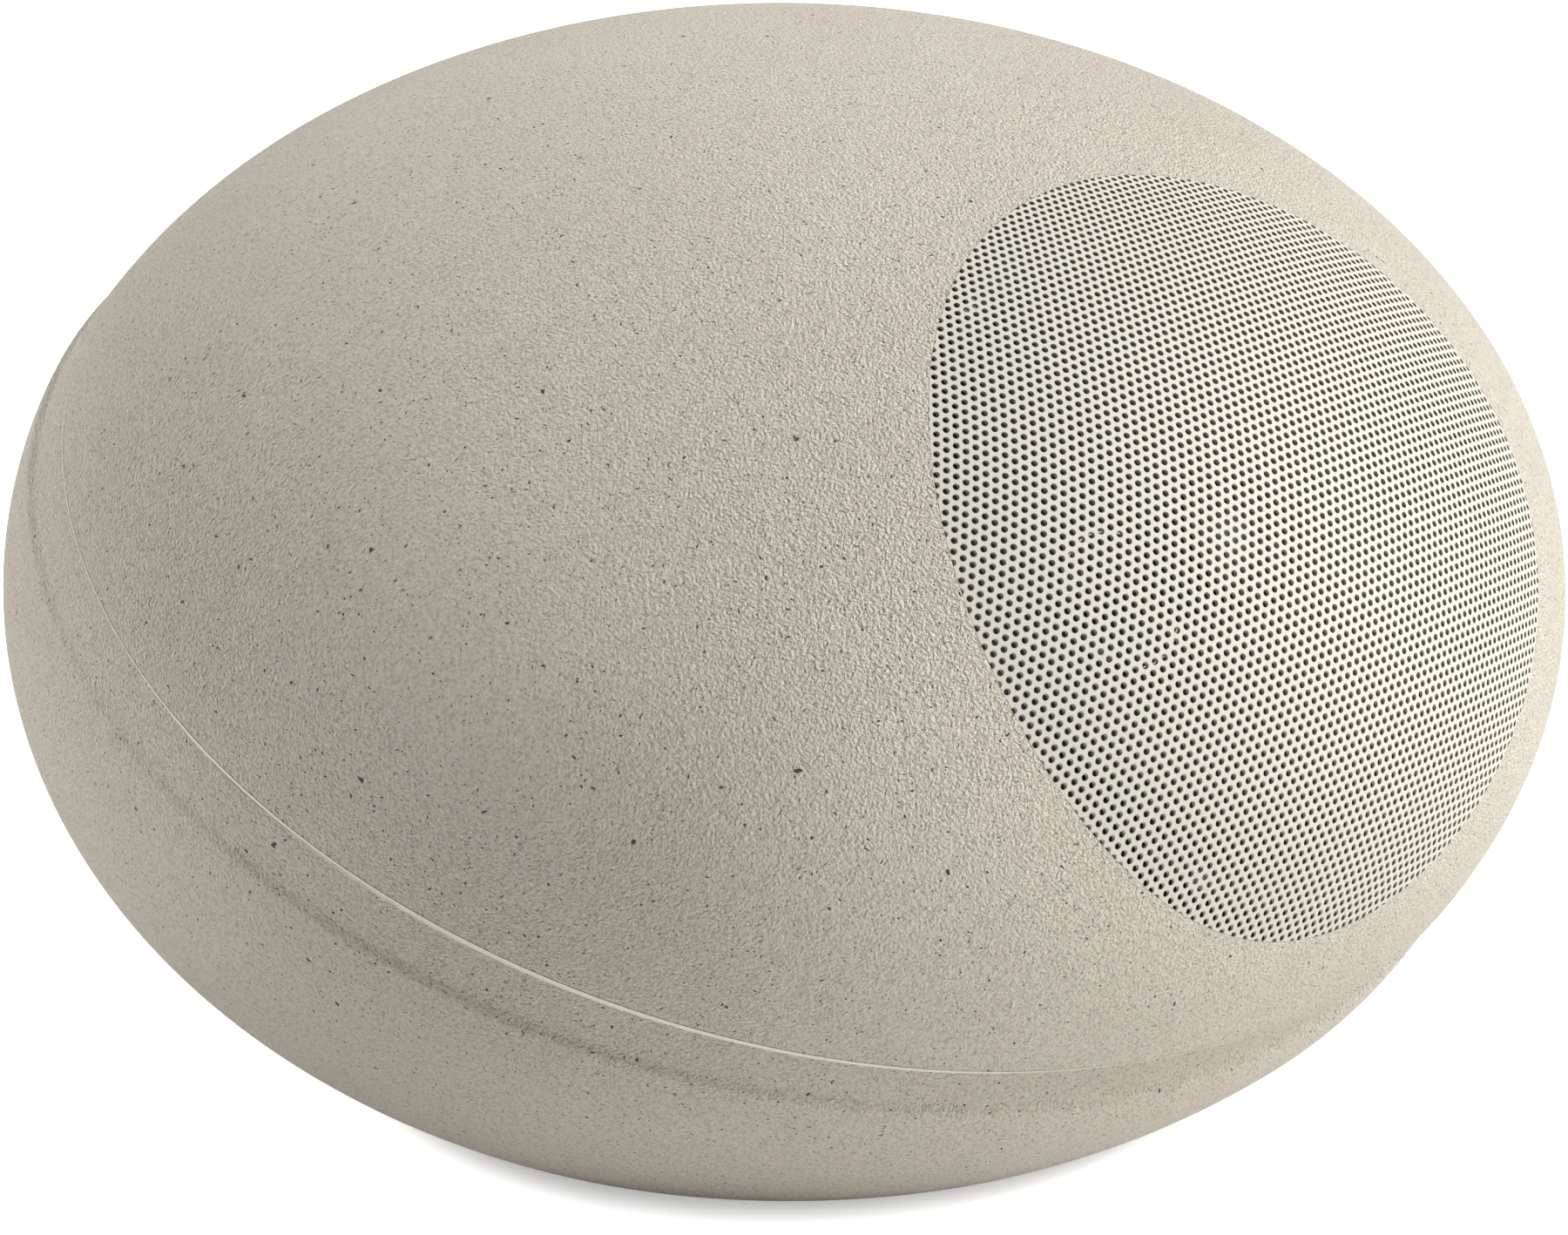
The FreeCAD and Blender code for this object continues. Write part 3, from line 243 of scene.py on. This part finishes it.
def ringPiece(name, rings, closed=False, capped=False, **more):  # skin over rings of equal count
    count = len(rings[0])
    points = [p for ring in rings for p in ring]
    faces = []
    last = len(rings) if closed else len(rings) - 1
    for r in range(last):
        a, b = r * count, (r + 1) % len(rings) * count
        faces += [(a + k, a + (k + 1) % count, b + (k + 1) % count, b + k) for k in range(count)]
    if capped:
        for ring, order in ((0, -1), (len(rings) - 1, 1)):
            middle = sum((p for p in rings[ring]), Vector()) / count
            points.append(middle)
            hub = len(points) - 1
            a = ring * count
            spokes = [(a + k, a + (k + 1) % count, hub) for k in range(count)]
            faces += [spoke[::order] for spoke in spokes]
    return meshPiece(name, points, faces, **more)


# materials
def linear(hexColour):
    parts = [int(hexColour[k:k + 2], 16) / 255 for k in (1, 3, 5)]
    return tuple(c / 12.92 if c <= 0.04045 else ((c + 0.055) / 1.055) ** 2.4 for c in parts) + (1.0,)


def perMm(size):  # texture scale whose features are this many mm
    return 1 / (size * mm)


def addNode(tree, kind, inputs=None, **settings):
    node = tree.nodes.new(kind)
    for name, value in settings.items():
        setattr(node, name, value)
    for socket, value in (inputs or {}).items():
        if isinstance(value, bpy.types.NodeSocket):
            tree.links.new(value, node.inputs[socket])
        else:
            node.inputs[socket].default_value = value
    return node


def newMaterial(name, roughness, metallic=0.0, ior=1.5):
    made = bpy.data.materials.new(name)
    made.use_nodes = True
    tree = made.node_tree
    shader = tree.nodes["Principled BSDF"]
    shader.inputs["Roughness"].default_value = roughness
    shader.inputs["Metallic"].default_value = metallic
    shader.inputs["IOR"].default_value = ior
    place = addNode(tree, "ShaderNodeTexCoord").outputs["Object"]
    return made, tree, shader, place


stone = {
    "pale": "#E2DACB", "deep": "#D8CFBF", "grain": "#9C917E", "fleck": "#1F1B16",
    "driftMm": 70.0,                        # slow drift between the two base tones
    "sandMm": 1.0, "sandShare": 0.55,       # fine grain of the filled resin
    "sandFrom": 0.45, "sandTo": 0.7,        # part of the noise that counts as grain
    "fleckSway": 2.6, "swayMm": 2.4,        # how far the flecks leave round, and over what length
    "fleckEdge": 0.15,                      # soft part of a fleck, as a share of its widest radius
    "peelMm": 0.8, "bumpMm": 2.8,           # grain of the mould, drawn deeper than it is to show
}
# dark flecks: cell in mm, share of cells without one, widest radius in cells, strength
flecks = ((1.1, 0.5, 0.3, 0.9), (2.2, 0.45, 0.2, 0.97), (7.0, 0.7, 0.12, 0.97))


# filled polyester resin in a grained mould: matte, sandy, with dark mineral flecks in it
def stoneResin():
    made, tree, shader, place = newMaterial("mouldedStoneResin", 0.72)
    drift = addNode(tree, "ShaderNodeTexNoise", {
        "Vector": place, "Scale": perMm(stone["driftMm"]), "Detail": 3.0}).outputs["Fac"]
    tone = addNode(tree, "ShaderNodeMix", {
        0: drift, 6: linear(stone["pale"]), 7: linear(stone["deep"])}, data_type="RGBA").outputs[2]
    sand = addNode(tree, "ShaderNodeTexNoise", {
        "Vector": place, "Scale": perMm(stone["sandMm"]),
        "Detail": 2.0, "Roughness": 0.6}).outputs["Fac"]
    sandShare = addNode(tree, "ShaderNodeMapRange", {
        "Value": sand, "From Min": stone["sandFrom"], "From Max": stone["sandTo"],
        "To Min": 0.0, "To Max": stone["sandShare"]}).outputs["Result"]
    tone = addNode(tree, "ShaderNodeMix", {
        0: sandShare, 6: tone, 7: linear(stone["grain"])}, data_type="RGBA").outputs[2]
    sway = addNode(tree, "ShaderNodeTexNoise", {
        "Vector": place, "Scale": perMm(stone["swayMm"]), "Detail": 1.0}).outputs["Color"]
    swayed = addNode(tree, "ShaderNodeVectorMath", {
        0: sway, 1: [stone["fleckSway"] * mm] * 3, 2: place}, operation="MULTIPLY_ADD").outputs[0]
    for size, least, widest, strength in flecks:
        cells = addNode(tree, "ShaderNodeTexVoronoi", {"Vector": swayed, "Scale": perMm(size)})
        chance = addNode(tree, "ShaderNodeSeparateColor", {
            "Color": cells.outputs["Color"]}).outputs["Red"]
        radius = addNode(tree, "ShaderNodeMapRange", {
            "Value": chance, "From Min": least, "From Max": 1.0,
            "To Min": -0.02, "To Max": widest})
        past = addNode(tree, "ShaderNodeMath", {
            0: cells.outputs["Distance"], 1: radius.outputs["Result"]}, operation="SUBTRACT").outputs[0]
        share = addNode(tree, "ShaderNodeMapRange", {
            "Value": past, "From Min": -stone["fleckEdge"] * widest, "From Max": 0.0,
            "To Min": strength, "To Max": 0.0})
        tone = addNode(tree, "ShaderNodeMix", {
            0: share.outputs["Result"], 6: tone, 7: linear(stone["fleck"])}, data_type="RGBA").outputs[2]
    tree.links.new(tone, shader.inputs["Base Color"])
    peel = addNode(tree, "ShaderNodeTexNoise", {
        "Vector": place, "Scale": perMm(stone["peelMm"]),
        "Detail": 3.0, "Roughness": 0.55}).outputs["Fac"]
    bump = addNode(tree, "ShaderNodeBump", {
        "Height": peel, "Distance": stone["bumpMm"] * mm, "Strength": 1.0})
    tree.links.new(bump.outputs["Normal"], shader.inputs["Normal"])
    return made


lip = {"pale": "#D0C9BB", "deep": "#C6BEAF", "driftMm": 4.0}


# the same resin where the mould is polished: the lip along the seam, even and with no grain
def smoothResin():
    made, tree, shader, place = newMaterial("smoothStoneResin", 0.6)
    drift = addNode(tree, "ShaderNodeTexNoise", {
        "Vector": place, "Scale": perMm(lip["driftMm"]), "Detail": 2.0}).outputs["Fac"]
    tone = addNode(tree, "ShaderNodeMix", {
        0: drift, 6: linear(lip["pale"]), 7: linear(lip["deep"])}, data_type="RGBA").outputs[2]
    tree.links.new(tone, shader.inputs["Base Color"])
    return made


# plain finishes: name, colour, a second tone, its size in mm, roughness, metallic, bump in mm
finishes = {
    # sprayed powder and paint: one even colour with a soft sheen
    "grille_paint": ("powderCoatedSteel", "#BEBAAE", "#B5B1A5", 0.6, 0.68, 0.0, 0.015),
    "basket_paint": ("blackPaintedCasting", "#1C1C1D", "#262627", 1.5, 0.5, 0.0, 0.02),
    # moulded rubber and plastic: dark and dull, with a fine tooth
    "black_rubber": ("mouldedButylRubber", "#151515", "#1E1E1E", 2.0, 0.72, 0.0, 0.02),
    "dark_plastic": ("texturedNylon", "#1B1B1C", "#232324", 0.5, 0.58, 0.0, 0.03),
    "cone_plastic": ("filledPolypropylene", "#2A2A2B", "#363637", 1.2, 0.55, 0.0, 0.04),
    # dipped weave: amber, dry and uneven
    "spider_cloth": ("resinDippedCotton", "#A97B33", "#8D6428", 0.8, 0.9, 0.0, 0.1),
    # spun, plated and pressed metal: a blurred shine
    "bare_aluminium": ("spunAluminium", "#C8CACB", "#B9BCBE", 0.7, 0.32, 1.0, 0.005),
    "zinc_steel": ("zincPlatedSteel", "#7E8285", "#707477", 1.6, 0.4, 1.0, 0.01),
    "terminal_brass": ("pressedBrass", "#C7A04A", "#B18B3C", 1.0, 0.3, 1.0, 0.005),
    # aluminium dome, given a dark colour as painted shade because it lies in shadow behind the grille
    "dome_metal": ("aluminiumDarkenedAsShade", "#505153", "#48494B", 0.4, 0.45, 1.0, 0.003),
    # lacquered wire: a warm metal shine
    "enamelled_copper": ("enamelledCopperWire", "#B0602C", "#9A4F22", 0.6, 0.35, 1.0, 0.03),
    # ground and fired ceramic: dry and chalky
    "ferrite": ("groundFerrite", "#33322F", "#3E3D39", 0.5, 0.62, 0.0, 0.02),
    "resistor_ceramic": ("unglazedCeramic", "#E0DCD1", "#D2CDC0", 0.5, 0.8, 0.0, 0.03),
    # cured resin and wrapped film: smooth and glossy
    "board_resin": ("solderResist", "#2C5936", "#254C2E", 3.0, 0.35, 0.0, 0.01),
    "capacitor_film": ("wrappedPolyester", "#C2872A", "#B47B22", 5.0, 0.3, 0.0, 0.01),
}


# one tone drifting into another at the finish's own grain size, with a bump of that grain
def plainFinish(name, first, second, size, roughness, metallic, bumpMm):
    made, tree, shader, place = newMaterial(name, roughness, metallic)
    grain = addNode(tree, "ShaderNodeTexNoise", {
        "Vector": place, "Scale": perMm(size), "Detail": 3.0}).outputs["Fac"]
    tone = addNode(tree, "ShaderNodeMix", {
        0: grain, 6: linear(first), 7: linear(second)}, data_type="RGBA").outputs[2]
    tree.links.new(tone, shader.inputs["Base Color"])
    bump = addNode(tree, "ShaderNodeBump", {"Height": grain, "Distance": bumpMm * mm, "Strength": 1.0})
    tree.links.new(bump.outputs["Normal"], shader.inputs["Normal"])
    return made


finish = {slot: plainFinish(*values) for slot, values in finishes.items()}
finish["stone_shell"] = stoneResin()
smoothStone = smoothResin()
print("materials made:", len(finish) + 1)


# upper shell: one closed skin from the driver cut-out, over the dome, to the seam and back inside
def makeUpperShell():
    d, s = driver, shell
    edge, seat = s["edgeRound"], d["grilleRadius"] + d["grilleGap"]
    rim = s["rimRound"]
    wellOut = d["wellRadius"] + d["wellWall"]
    baffleBack = -d["baffleDepth"] - d["baffleWall"]
    under = d["grilleSheet"] + d["bead"]
    bed = spheroid(s["domeMiddle"], s["domePlan"] - under, s["domeRise"] - under)
    rimTop, rimWall = driverRingOn(dome, seat + rim), driverRingOn(dome, seat, rim)
    rimCorner = driverRingOn(dome, seat)
    seamTop, seamIn = seamRing(dome, s["seamLevel"] + edge), seamRing(dome, s["seamLevel"], -edge)
    roomSeam = seamRing(room, s["seamLevel"])
    roomWell = driverRingOn(room, wellOut)
    rings = [driverRing(d["cutout"], baffleBack), driverRing(d["cutout"], -d["baffleDepth"])]
    rings += [driverRing(d["wellRadius"], -d["baffleDepth"])]
    rings += [driverRingOn(bed, d["wellRadius"]), driverRingOn(bed, seat), rimWall]
    inWell = len(rings) - 1
    rings += bend(rimWall, rimCorner, rimTop, 4) + [rimTop]
    rings += [tucked(ring) for ring in alongBall(dome, rimTop, seamTop, 120) + [seamTop, seamIn]]
    rings += [roomSeam] + alongBall(room, roomSeam, roomWell, 60) + [roomWell]
    rings += [driverRing(wellOut, baffleBack)]
    piece = ringPiece("upperShell", rings, closed=True)
    piece.data.materials.append(finish["stone_shell"])
    # the well behind the grille takes the dark basket paint, which makes the holes near the rim read dark
    piece.data.materials.append(finish["basket_paint"])
    for face in range(inWell * s["around"]):
        piece.data.polygons[face].material_index = 1
    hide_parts("upper_shell")
    return piece


# lower shell: from the base's middle up over the crest and the cove to the lip, and down inside
def makeLowerShell():
    s = shell
    level = s["seamLevel"]
    lipTop = domeEdge(level, s["lipProud"])
    lipLow = lipRing()
    coveTop = bowlRing(s["coveLevel"])
    coveBend = bowlRing((s["coveLevel"] + level - s["lipDrop"]) / 2)
    foot = levelRing(bowl, s["baseEdgeHeight"])
    footCorner = levelRing(bowl, 0.0)
    footFlat = levelRing(bowl, 0.0, -s["baseEdge"])
    roomFloor = levelRing(bowlRoom, s["floor"])
    roomFoot = seamRing(bowlRoom, s["coveFoot"])
    bandSteps = 60
    bandStep = (s["coveLevel"] - s["coveFoot"]) / bandSteps
    rings = closing(footFlat, 0.0, (0.98, 0.6, 0.3))
    rings += [footFlat] + bend(footFlat, footCorner, foot, 10) + [foot]
    rings += alongBall(bowl, foot, seamRing(bowl, s["coveFoot"]), 90)
    rings += [bowlRing(s["coveFoot"] + bandStep * k) for k in range(bandSteps + 1)]
    rings += bend(coveTop, coveBend, lipLow, 10) + [lipLow]
    lipStart = len(rings) - 1
    rings += [lipTop]
    rings += [seamRing(room, level), seamRing(bowlRoom, s["coveLevel"], -s["wall"]), roomFoot]
    rings += alongBall(bowlRoom, roomFoot, roomFloor, 50) + [roomFloor]
    rings += closing(roomFloor, s["floor"], (0.98,))
    piece = ringPiece("lowerShell", rings, capped=True)
    piece.data.materials.append(finish["stone_shell"])
    piece.data.materials.append(smoothStone)
    for face in range(lipStart * s["around"], (lipStart + 1) * s["around"]):
        piece.data.polygons[face].material_index = 1
    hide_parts("lower_shell")
    return piece


# the cable gland's well in the back of the bowl, sizes in mm
gland = {
    "height": 60.0, "face": 171.0, "pad": 6.0, "hole": 8.4,
    "well": 19.0, "wellWall": 4.0, "lip": 0.8,
    "drillIn": 20.0, "drillOut": 60.0,   # reach of the cut, before and behind the face
}


def glandRing(radius, back=None, under=0.0):  # a ring round the gland, flat or following the bowl
    ring = []
    for t in turns:
        point = Vector((radius * math.cos(t), 0, gland["height"] + radius * math.sin(t)))
        if back is None:
            point = meet(bowl, point, Vector((0, 1, 0)))
            point.y -= under
        else:
            point.y = back
        ring.append(point)
    return ring


def cutGlandWell(piece):  # the round opening behind, then its cup
    g = gland
    bore = g["well"] + g["lip"]
    ends = [glandRing(bore, g["face"] + g["drillOut"]), glandRing(bore, g["face"] - g["drillIn"])]
    drill = ringPiece("drill", ends, capped=True)
    cut = piece.modifiers.new("glandOpening", "BOOLEAN")
    cut.object, cut.solver = drill, "EXACT"
    bpy.context.view_layer.update()
    shown = piece.evaluated_get(bpy.context.evaluated_depsgraph_get())
    cutMesh = bpy.data.meshes.new_from_object(shown)
    piece.modifiers.clear()
    piece.data = cutMesh
    piece.data.set_sharp_from_angle(angle=math.radians(35))
    bpy.data.objects.remove(drill)
    outer = g["well"] + g["wellWall"]
    rings = [glandRing(g["hole"], g["face"] - g["pad"]), glandRing(g["hole"], g["face"] - g["lip"]),
             glandRing(g["hole"] + g["lip"], g["face"]), glandRing(g["well"] - g["lip"], g["face"]),
             glandRing(g["well"], g["face"] + g["lip"]), glandRing(g["well"], under=g["lip"] * 1.5),
             glandRing(g["well"] + g["lip"] * 1.1, under=0.05), glandRing(outer, under=2.0),
             glandRing(outer, g["face"] - g["pad"])]
    cup = ringPiece("glandWell", rings, closed=True)
    cup.data.materials.append(finish["stone_shell"])
    return cup


standoff = {"inset": 7.0, "radius": 5.0, "sink": 1.0, "every": 9}   # a corner at every so many ring points


def makeStandoffs():  # posts under the crossover board's corners
    low, high = [[c / mm for c in corner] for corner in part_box("crossover_board")]
    inset, radius = standoff["inset"], standoff["radius"]
    corners = turns[::standoff["every"]]
    count = len(corners)
    points, faces = [], []
    for x in (low[0] + inset, high[0] - inset):
        for y in (low[1] + inset, high[1] - inset):
            first = len(points)
            for z in (shell["floor"] - standoff["sink"], low[2]):
                points += [Vector((x + radius * math.cos(t), y + radius * math.sin(t), z))
                           for t in corners]
            for k in range(count):
                a, b = first + k, first + (k + 1) % count
                faces.append((a, b, count + b, count + a))
            faces.append(tuple(range(first + count, first + 2 * count)))
    piece = meshPiece("standoffs", points, faces)
    piece.data.materials.append(finish["stone_shell"])
    return piece


upperShell = makeUpperShell()
lowerShell = makeLowerShell()
cutGlandWell(lowerShell)
makeStandoffs()
print("shells made:", len(upperShell.data.polygons), "and", len(lowerShell.data.polygons), "faces")


# grille: a hexagonal field of punched holes, laid flat and pressed onto the dome, sizes in mm
perforation = {
    "pitch": 2.815, "hole": 1.78, "deep": 1.0,
    "turn": 4.0,                            # degrees by which the rows lean from the level
    "corners": 12,                          # corners of each hole
    "field": 1.12,                          # flat field, as a share of the grille's radius
    "skirtIn": 0.5, "skirtDeep": 6.0,
}


def onDome(across, up, deeper=0.0):  # flat sheet to dome, keeping lengths from the middle
    reach = math.hypot(across, up)
    if reach < 1e-9:
        return apex - axisOut * deeper, False
    share = (across / reach) ** 2
    curve = 1 / (share * span / shell["domePlan"] ** 2
                 + (1 - share) * span ** 3 / (shell["domePlan"] * shell["domeRise"]) ** 2)
    radius = curve * math.sin(min(reach / curve, math.pi / 2))
    past = radius > driver["grilleRadius"]
    shrink = min(radius, driver["grilleRadius"]) / reach
    start = apex + (side * across + axisUp * up) * shrink - axisOut * driver["lineStart"]
    return meet(dome, start, axisOut) - axisOut * deeper, past


def makeGrille():
    p = perforation
    pitch, corners, hole = p["pitch"], p["corners"], p["hole"] / 2
    reach = driver["grilleRadius"] * p["field"]
    turn = math.radians(p["turn"])
    points, past, sheetFaces, wallFaces, cornerOf = [], [], [], [], {}

    def addPoint(x, y, deeper=0.0):
        place, outside = onDome(x * math.cos(turn) - y * math.sin(turn),
                                x * math.sin(turn) + y * math.cos(turn), deeper)
        points.append(place)
        past.append(outside)
        return len(points) - 1

    def cornerPoint(x, y):
        key = (round(x * 20), round(y * 20))   # neighbours share their corners
        if key not in cornerOf:
            cornerOf[key] = addPoint(x, y)
        return cornerOf[key]

    rows = int(reach / (pitch * math.sqrt(3) / 2)) + 1
    across = int(reach / pitch) + 1
    part = corners // 6
    for row in range(-rows, rows + 1):
        y = row * pitch * math.sqrt(3) / 2
        for column in range(-across, across + 1):
            x = (column + row % 2 / 2) * pitch
            if math.hypot(x, y) > reach:
                continue
            hexagon = []
            for k in range(6):
                t = math.pi * (2 * k + 1) / 6
                hexagon.append(cornerPoint(x + pitch / math.sqrt(3) * math.cos(t),
                                           y + pitch / math.sqrt(3) * math.sin(t)))
            if all(past[k] for k in hexagon):
                continue
            rings = []
            for deeper in (0.0, p["deep"]):
                angles = [2 * math.pi * k / corners for k in range(corners)]
                rings.append([addPoint(x + hole * math.cos(t), y + hole * math.sin(t), deeper)
                              for t in angles])
            front, back = rings
            for k in range(6):
                arc = [front[(part // 2 + part * k + j) % corners] for j in range(part, -1, -1)]
                sheetFaces.append((hexagon[k], hexagon[(k + 1) % 6], *arc))
            for k in range(corners):
                n = (k + 1) % corners
                wallFaces.append((front[k], front[n], back[n], back[k]))
    made = []
    for name, faces in (("grilleSheet", sheetFaces), ("grilleHoles", wallFaces)):
        kept = [face for face in faces if not all(past[k] for k in face)]
        used = sorted({k for face in kept for k in face})
        index = {k: n for n, k in enumerate(used)}
        piece = meshPiece(name, [points[k] for k in used],
                          [tuple(index[k] for k in face) for face in kept])
        piece.data.materials.append(finish["grille_paint"])
        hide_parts("grille")
        made.append(piece)
    return made


def makeGrilleRim():  # the sheet's edge and its turned-in skirt, out of sight under the shell
    radius, sheet = driver["grilleRadius"], driver["grilleSheet"]
    skirt = radius - perforation["skirtIn"]
    rings = [driverRingOn(dome, radius), driverRingOn(dome, radius, sheet),
             driverRingOn(dome, skirt, sheet),
             driverRingOn(dome, skirt, sheet + perforation["skirtDeep"])]
    piece = ringPiece("grilleRim", rings)
    piece.data.materials.append(finish["grille_paint"])
    return piece


grilleSheet, grilleHoles = makeGrille()
makeGrilleRim()
print("grille made:", len(grilleSheet.data.polygons) + len(grilleHoles.data.polygons), "faces")

# the solids that need no new shape take their finish from the record's slots
for part in frame["record"]["subparts"]:
    node = frame["nodes"][part["node"]]
    node.data.materials.clear()
    node.data.materials.append(finish[part["material_slot"]])

# camera, fitted to the outline, the seam and the grille in the picture
camera = {
    "azimuth": -41.4167, "elevation": 17.7302, "distance": 1.2245, "lens": 98.83,
    "shift": (0.00237, -0.02755),
}
turn, climb = math.radians(camera["azimuth"]), math.radians(camera["elevation"])
back = Vector((math.sin(turn) * math.cos(climb), -math.cos(turn) * math.cos(climb), math.sin(climb)))
eye = bpy.data.cameras.new("camera")
eye.lens, eye.sensor_width, eye.sensor_fit = camera["lens"], 36.0, "HORIZONTAL"
eye.shift_x, eye.shift_y = camera["shift"]
eyeObject = bpy.data.objects.new("camera", eye)
eyeObject.location = dome["middle"] * mm + back * camera["distance"]
eyeObject.rotation_mode = "QUATERNION"
eyeObject.rotation_quaternion = (-back).to_track_quat("-Z", "Y")
bpy.context.scene.collection.objects.link(eyeObject)
bpy.context.scene.camera = eyeObject

# soft boxes: right, up and towards the camera from the dome's middle in metres, then size and watts
right = Vector((0, 0, 1)).cross(back).normalized()
softBoxes = {
    "keyBox": ((1.2, 1.0, 0.5), 1.1, 36.0),
    "frontBox": ((1.2, 0.4, 1.0), 1.2, 4.5),
    "leftBox": ((-1.5, 0.8, -0.15), 0.7, 18.5),
    "backBox": ((0.0, 1.3, -1.1), 1.2, 6.0),
    "rightBox": ((1.5, 0.1, 0.4), 1.0, 5.5),
}
for name, (where, size, watts) in softBoxes.items():
    lamp = bpy.data.lights.new(name, "AREA")
    lamp.shape, lamp.size, lamp.energy = "DISK", size, watts
    lampObject = bpy.data.objects.new(name, lamp)
    way = right * where[0] + Vector((0, 0, where[1])) + back * where[2]
    lampObject.location = dome["middle"] * mm + way
    lampObject.rotation_mode = "QUATERNION"
    lampObject.rotation_quaternion = (-way).to_track_quat("-Z", "Y")
    bpy.context.scene.collection.objects.link(lampObject)


def seenShare(tree):  # 1 for what the eye, a reflection or glass sees, 0 for light on the object
    path = addNode(tree, "ShaderNodeLightPath")
    share = path.outputs["Is Camera Ray"]
    for output in ("Is Glossy Ray", "Is Transmission Ray"):
        share = addNode(tree, "ShaderNodeMath", {
            0: share, 1: path.outputs[output]}, operation="MAXIMUM").outputs[0]
    return share


# white surroundings; the floor lifts to white with the distance from the middle, in metres
studio = {
    "ambient": 0.05, "white": 1.0, "floor": "#F4F4F2",
    "nearLift": 0.45, "nearReach": 0.121, "whiteReach": 0.14,
    "floorDrop": 0.0002,   # keeps the paper clear of the base
}
world = bpy.data.worlds.new("studio")
world.use_nodes = True
air = world.node_tree
level = addNode(air, "ShaderNodeMapRange", {
    "Value": seenShare(air), "To Min": studio["ambient"], "To Max": studio["white"]}).outputs["Result"]
air.links.new(level, air.nodes["Background"].inputs["Strength"])
air.nodes["Background"].inputs["Color"].default_value = (1, 1, 1, 1)
bpy.context.scene.world = world

floorMesh = bpy.data.meshes.new("floor")
floorMesh.from_pydata([(-6, -6, 0), (6, -6, 0), (6, 6, 0), (-6, 6, 0)], [], [(0, 1, 2, 3)])
floor = bpy.data.objects.new("floor", floorMesh)
floor.location.z = -studio["floorDrop"]
bpy.context.scene.collection.objects.link(floor)
paper, paperTree, paperShader, paperPlace = newMaterial("whitePaper", 0.9)
paperShader.inputs["Base Color"].default_value = linear(studio["floor"])
paperShader.inputs["Emission Color"].default_value = (1, 1, 1, 1)
reach = addNode(paperTree, "ShaderNodeVectorMath", {0: paperPlace}, operation="LENGTH").outputs["Value"]
rising = addNode(paperTree, "ShaderNodeMapRange", {
    "Value": reach, "From Min": studio["nearReach"], "From Max": studio["whiteReach"],
    "To Min": studio["nearLift"], "To Max": 1.0}, interpolation_type="SMOOTHSTEP").outputs["Result"]
lift = addNode(paperTree, "ShaderNodeMath", {0: seenShare(paperTree), 1: rising}, operation="MULTIPLY")
paperTree.links.new(lift.outputs[0], paperShader.inputs["Emission Strength"])
floor.data.materials.append(paper)
bpy.context.scene.view_settings.view_transform = "Standard"
print("camera, lamps and floor made")
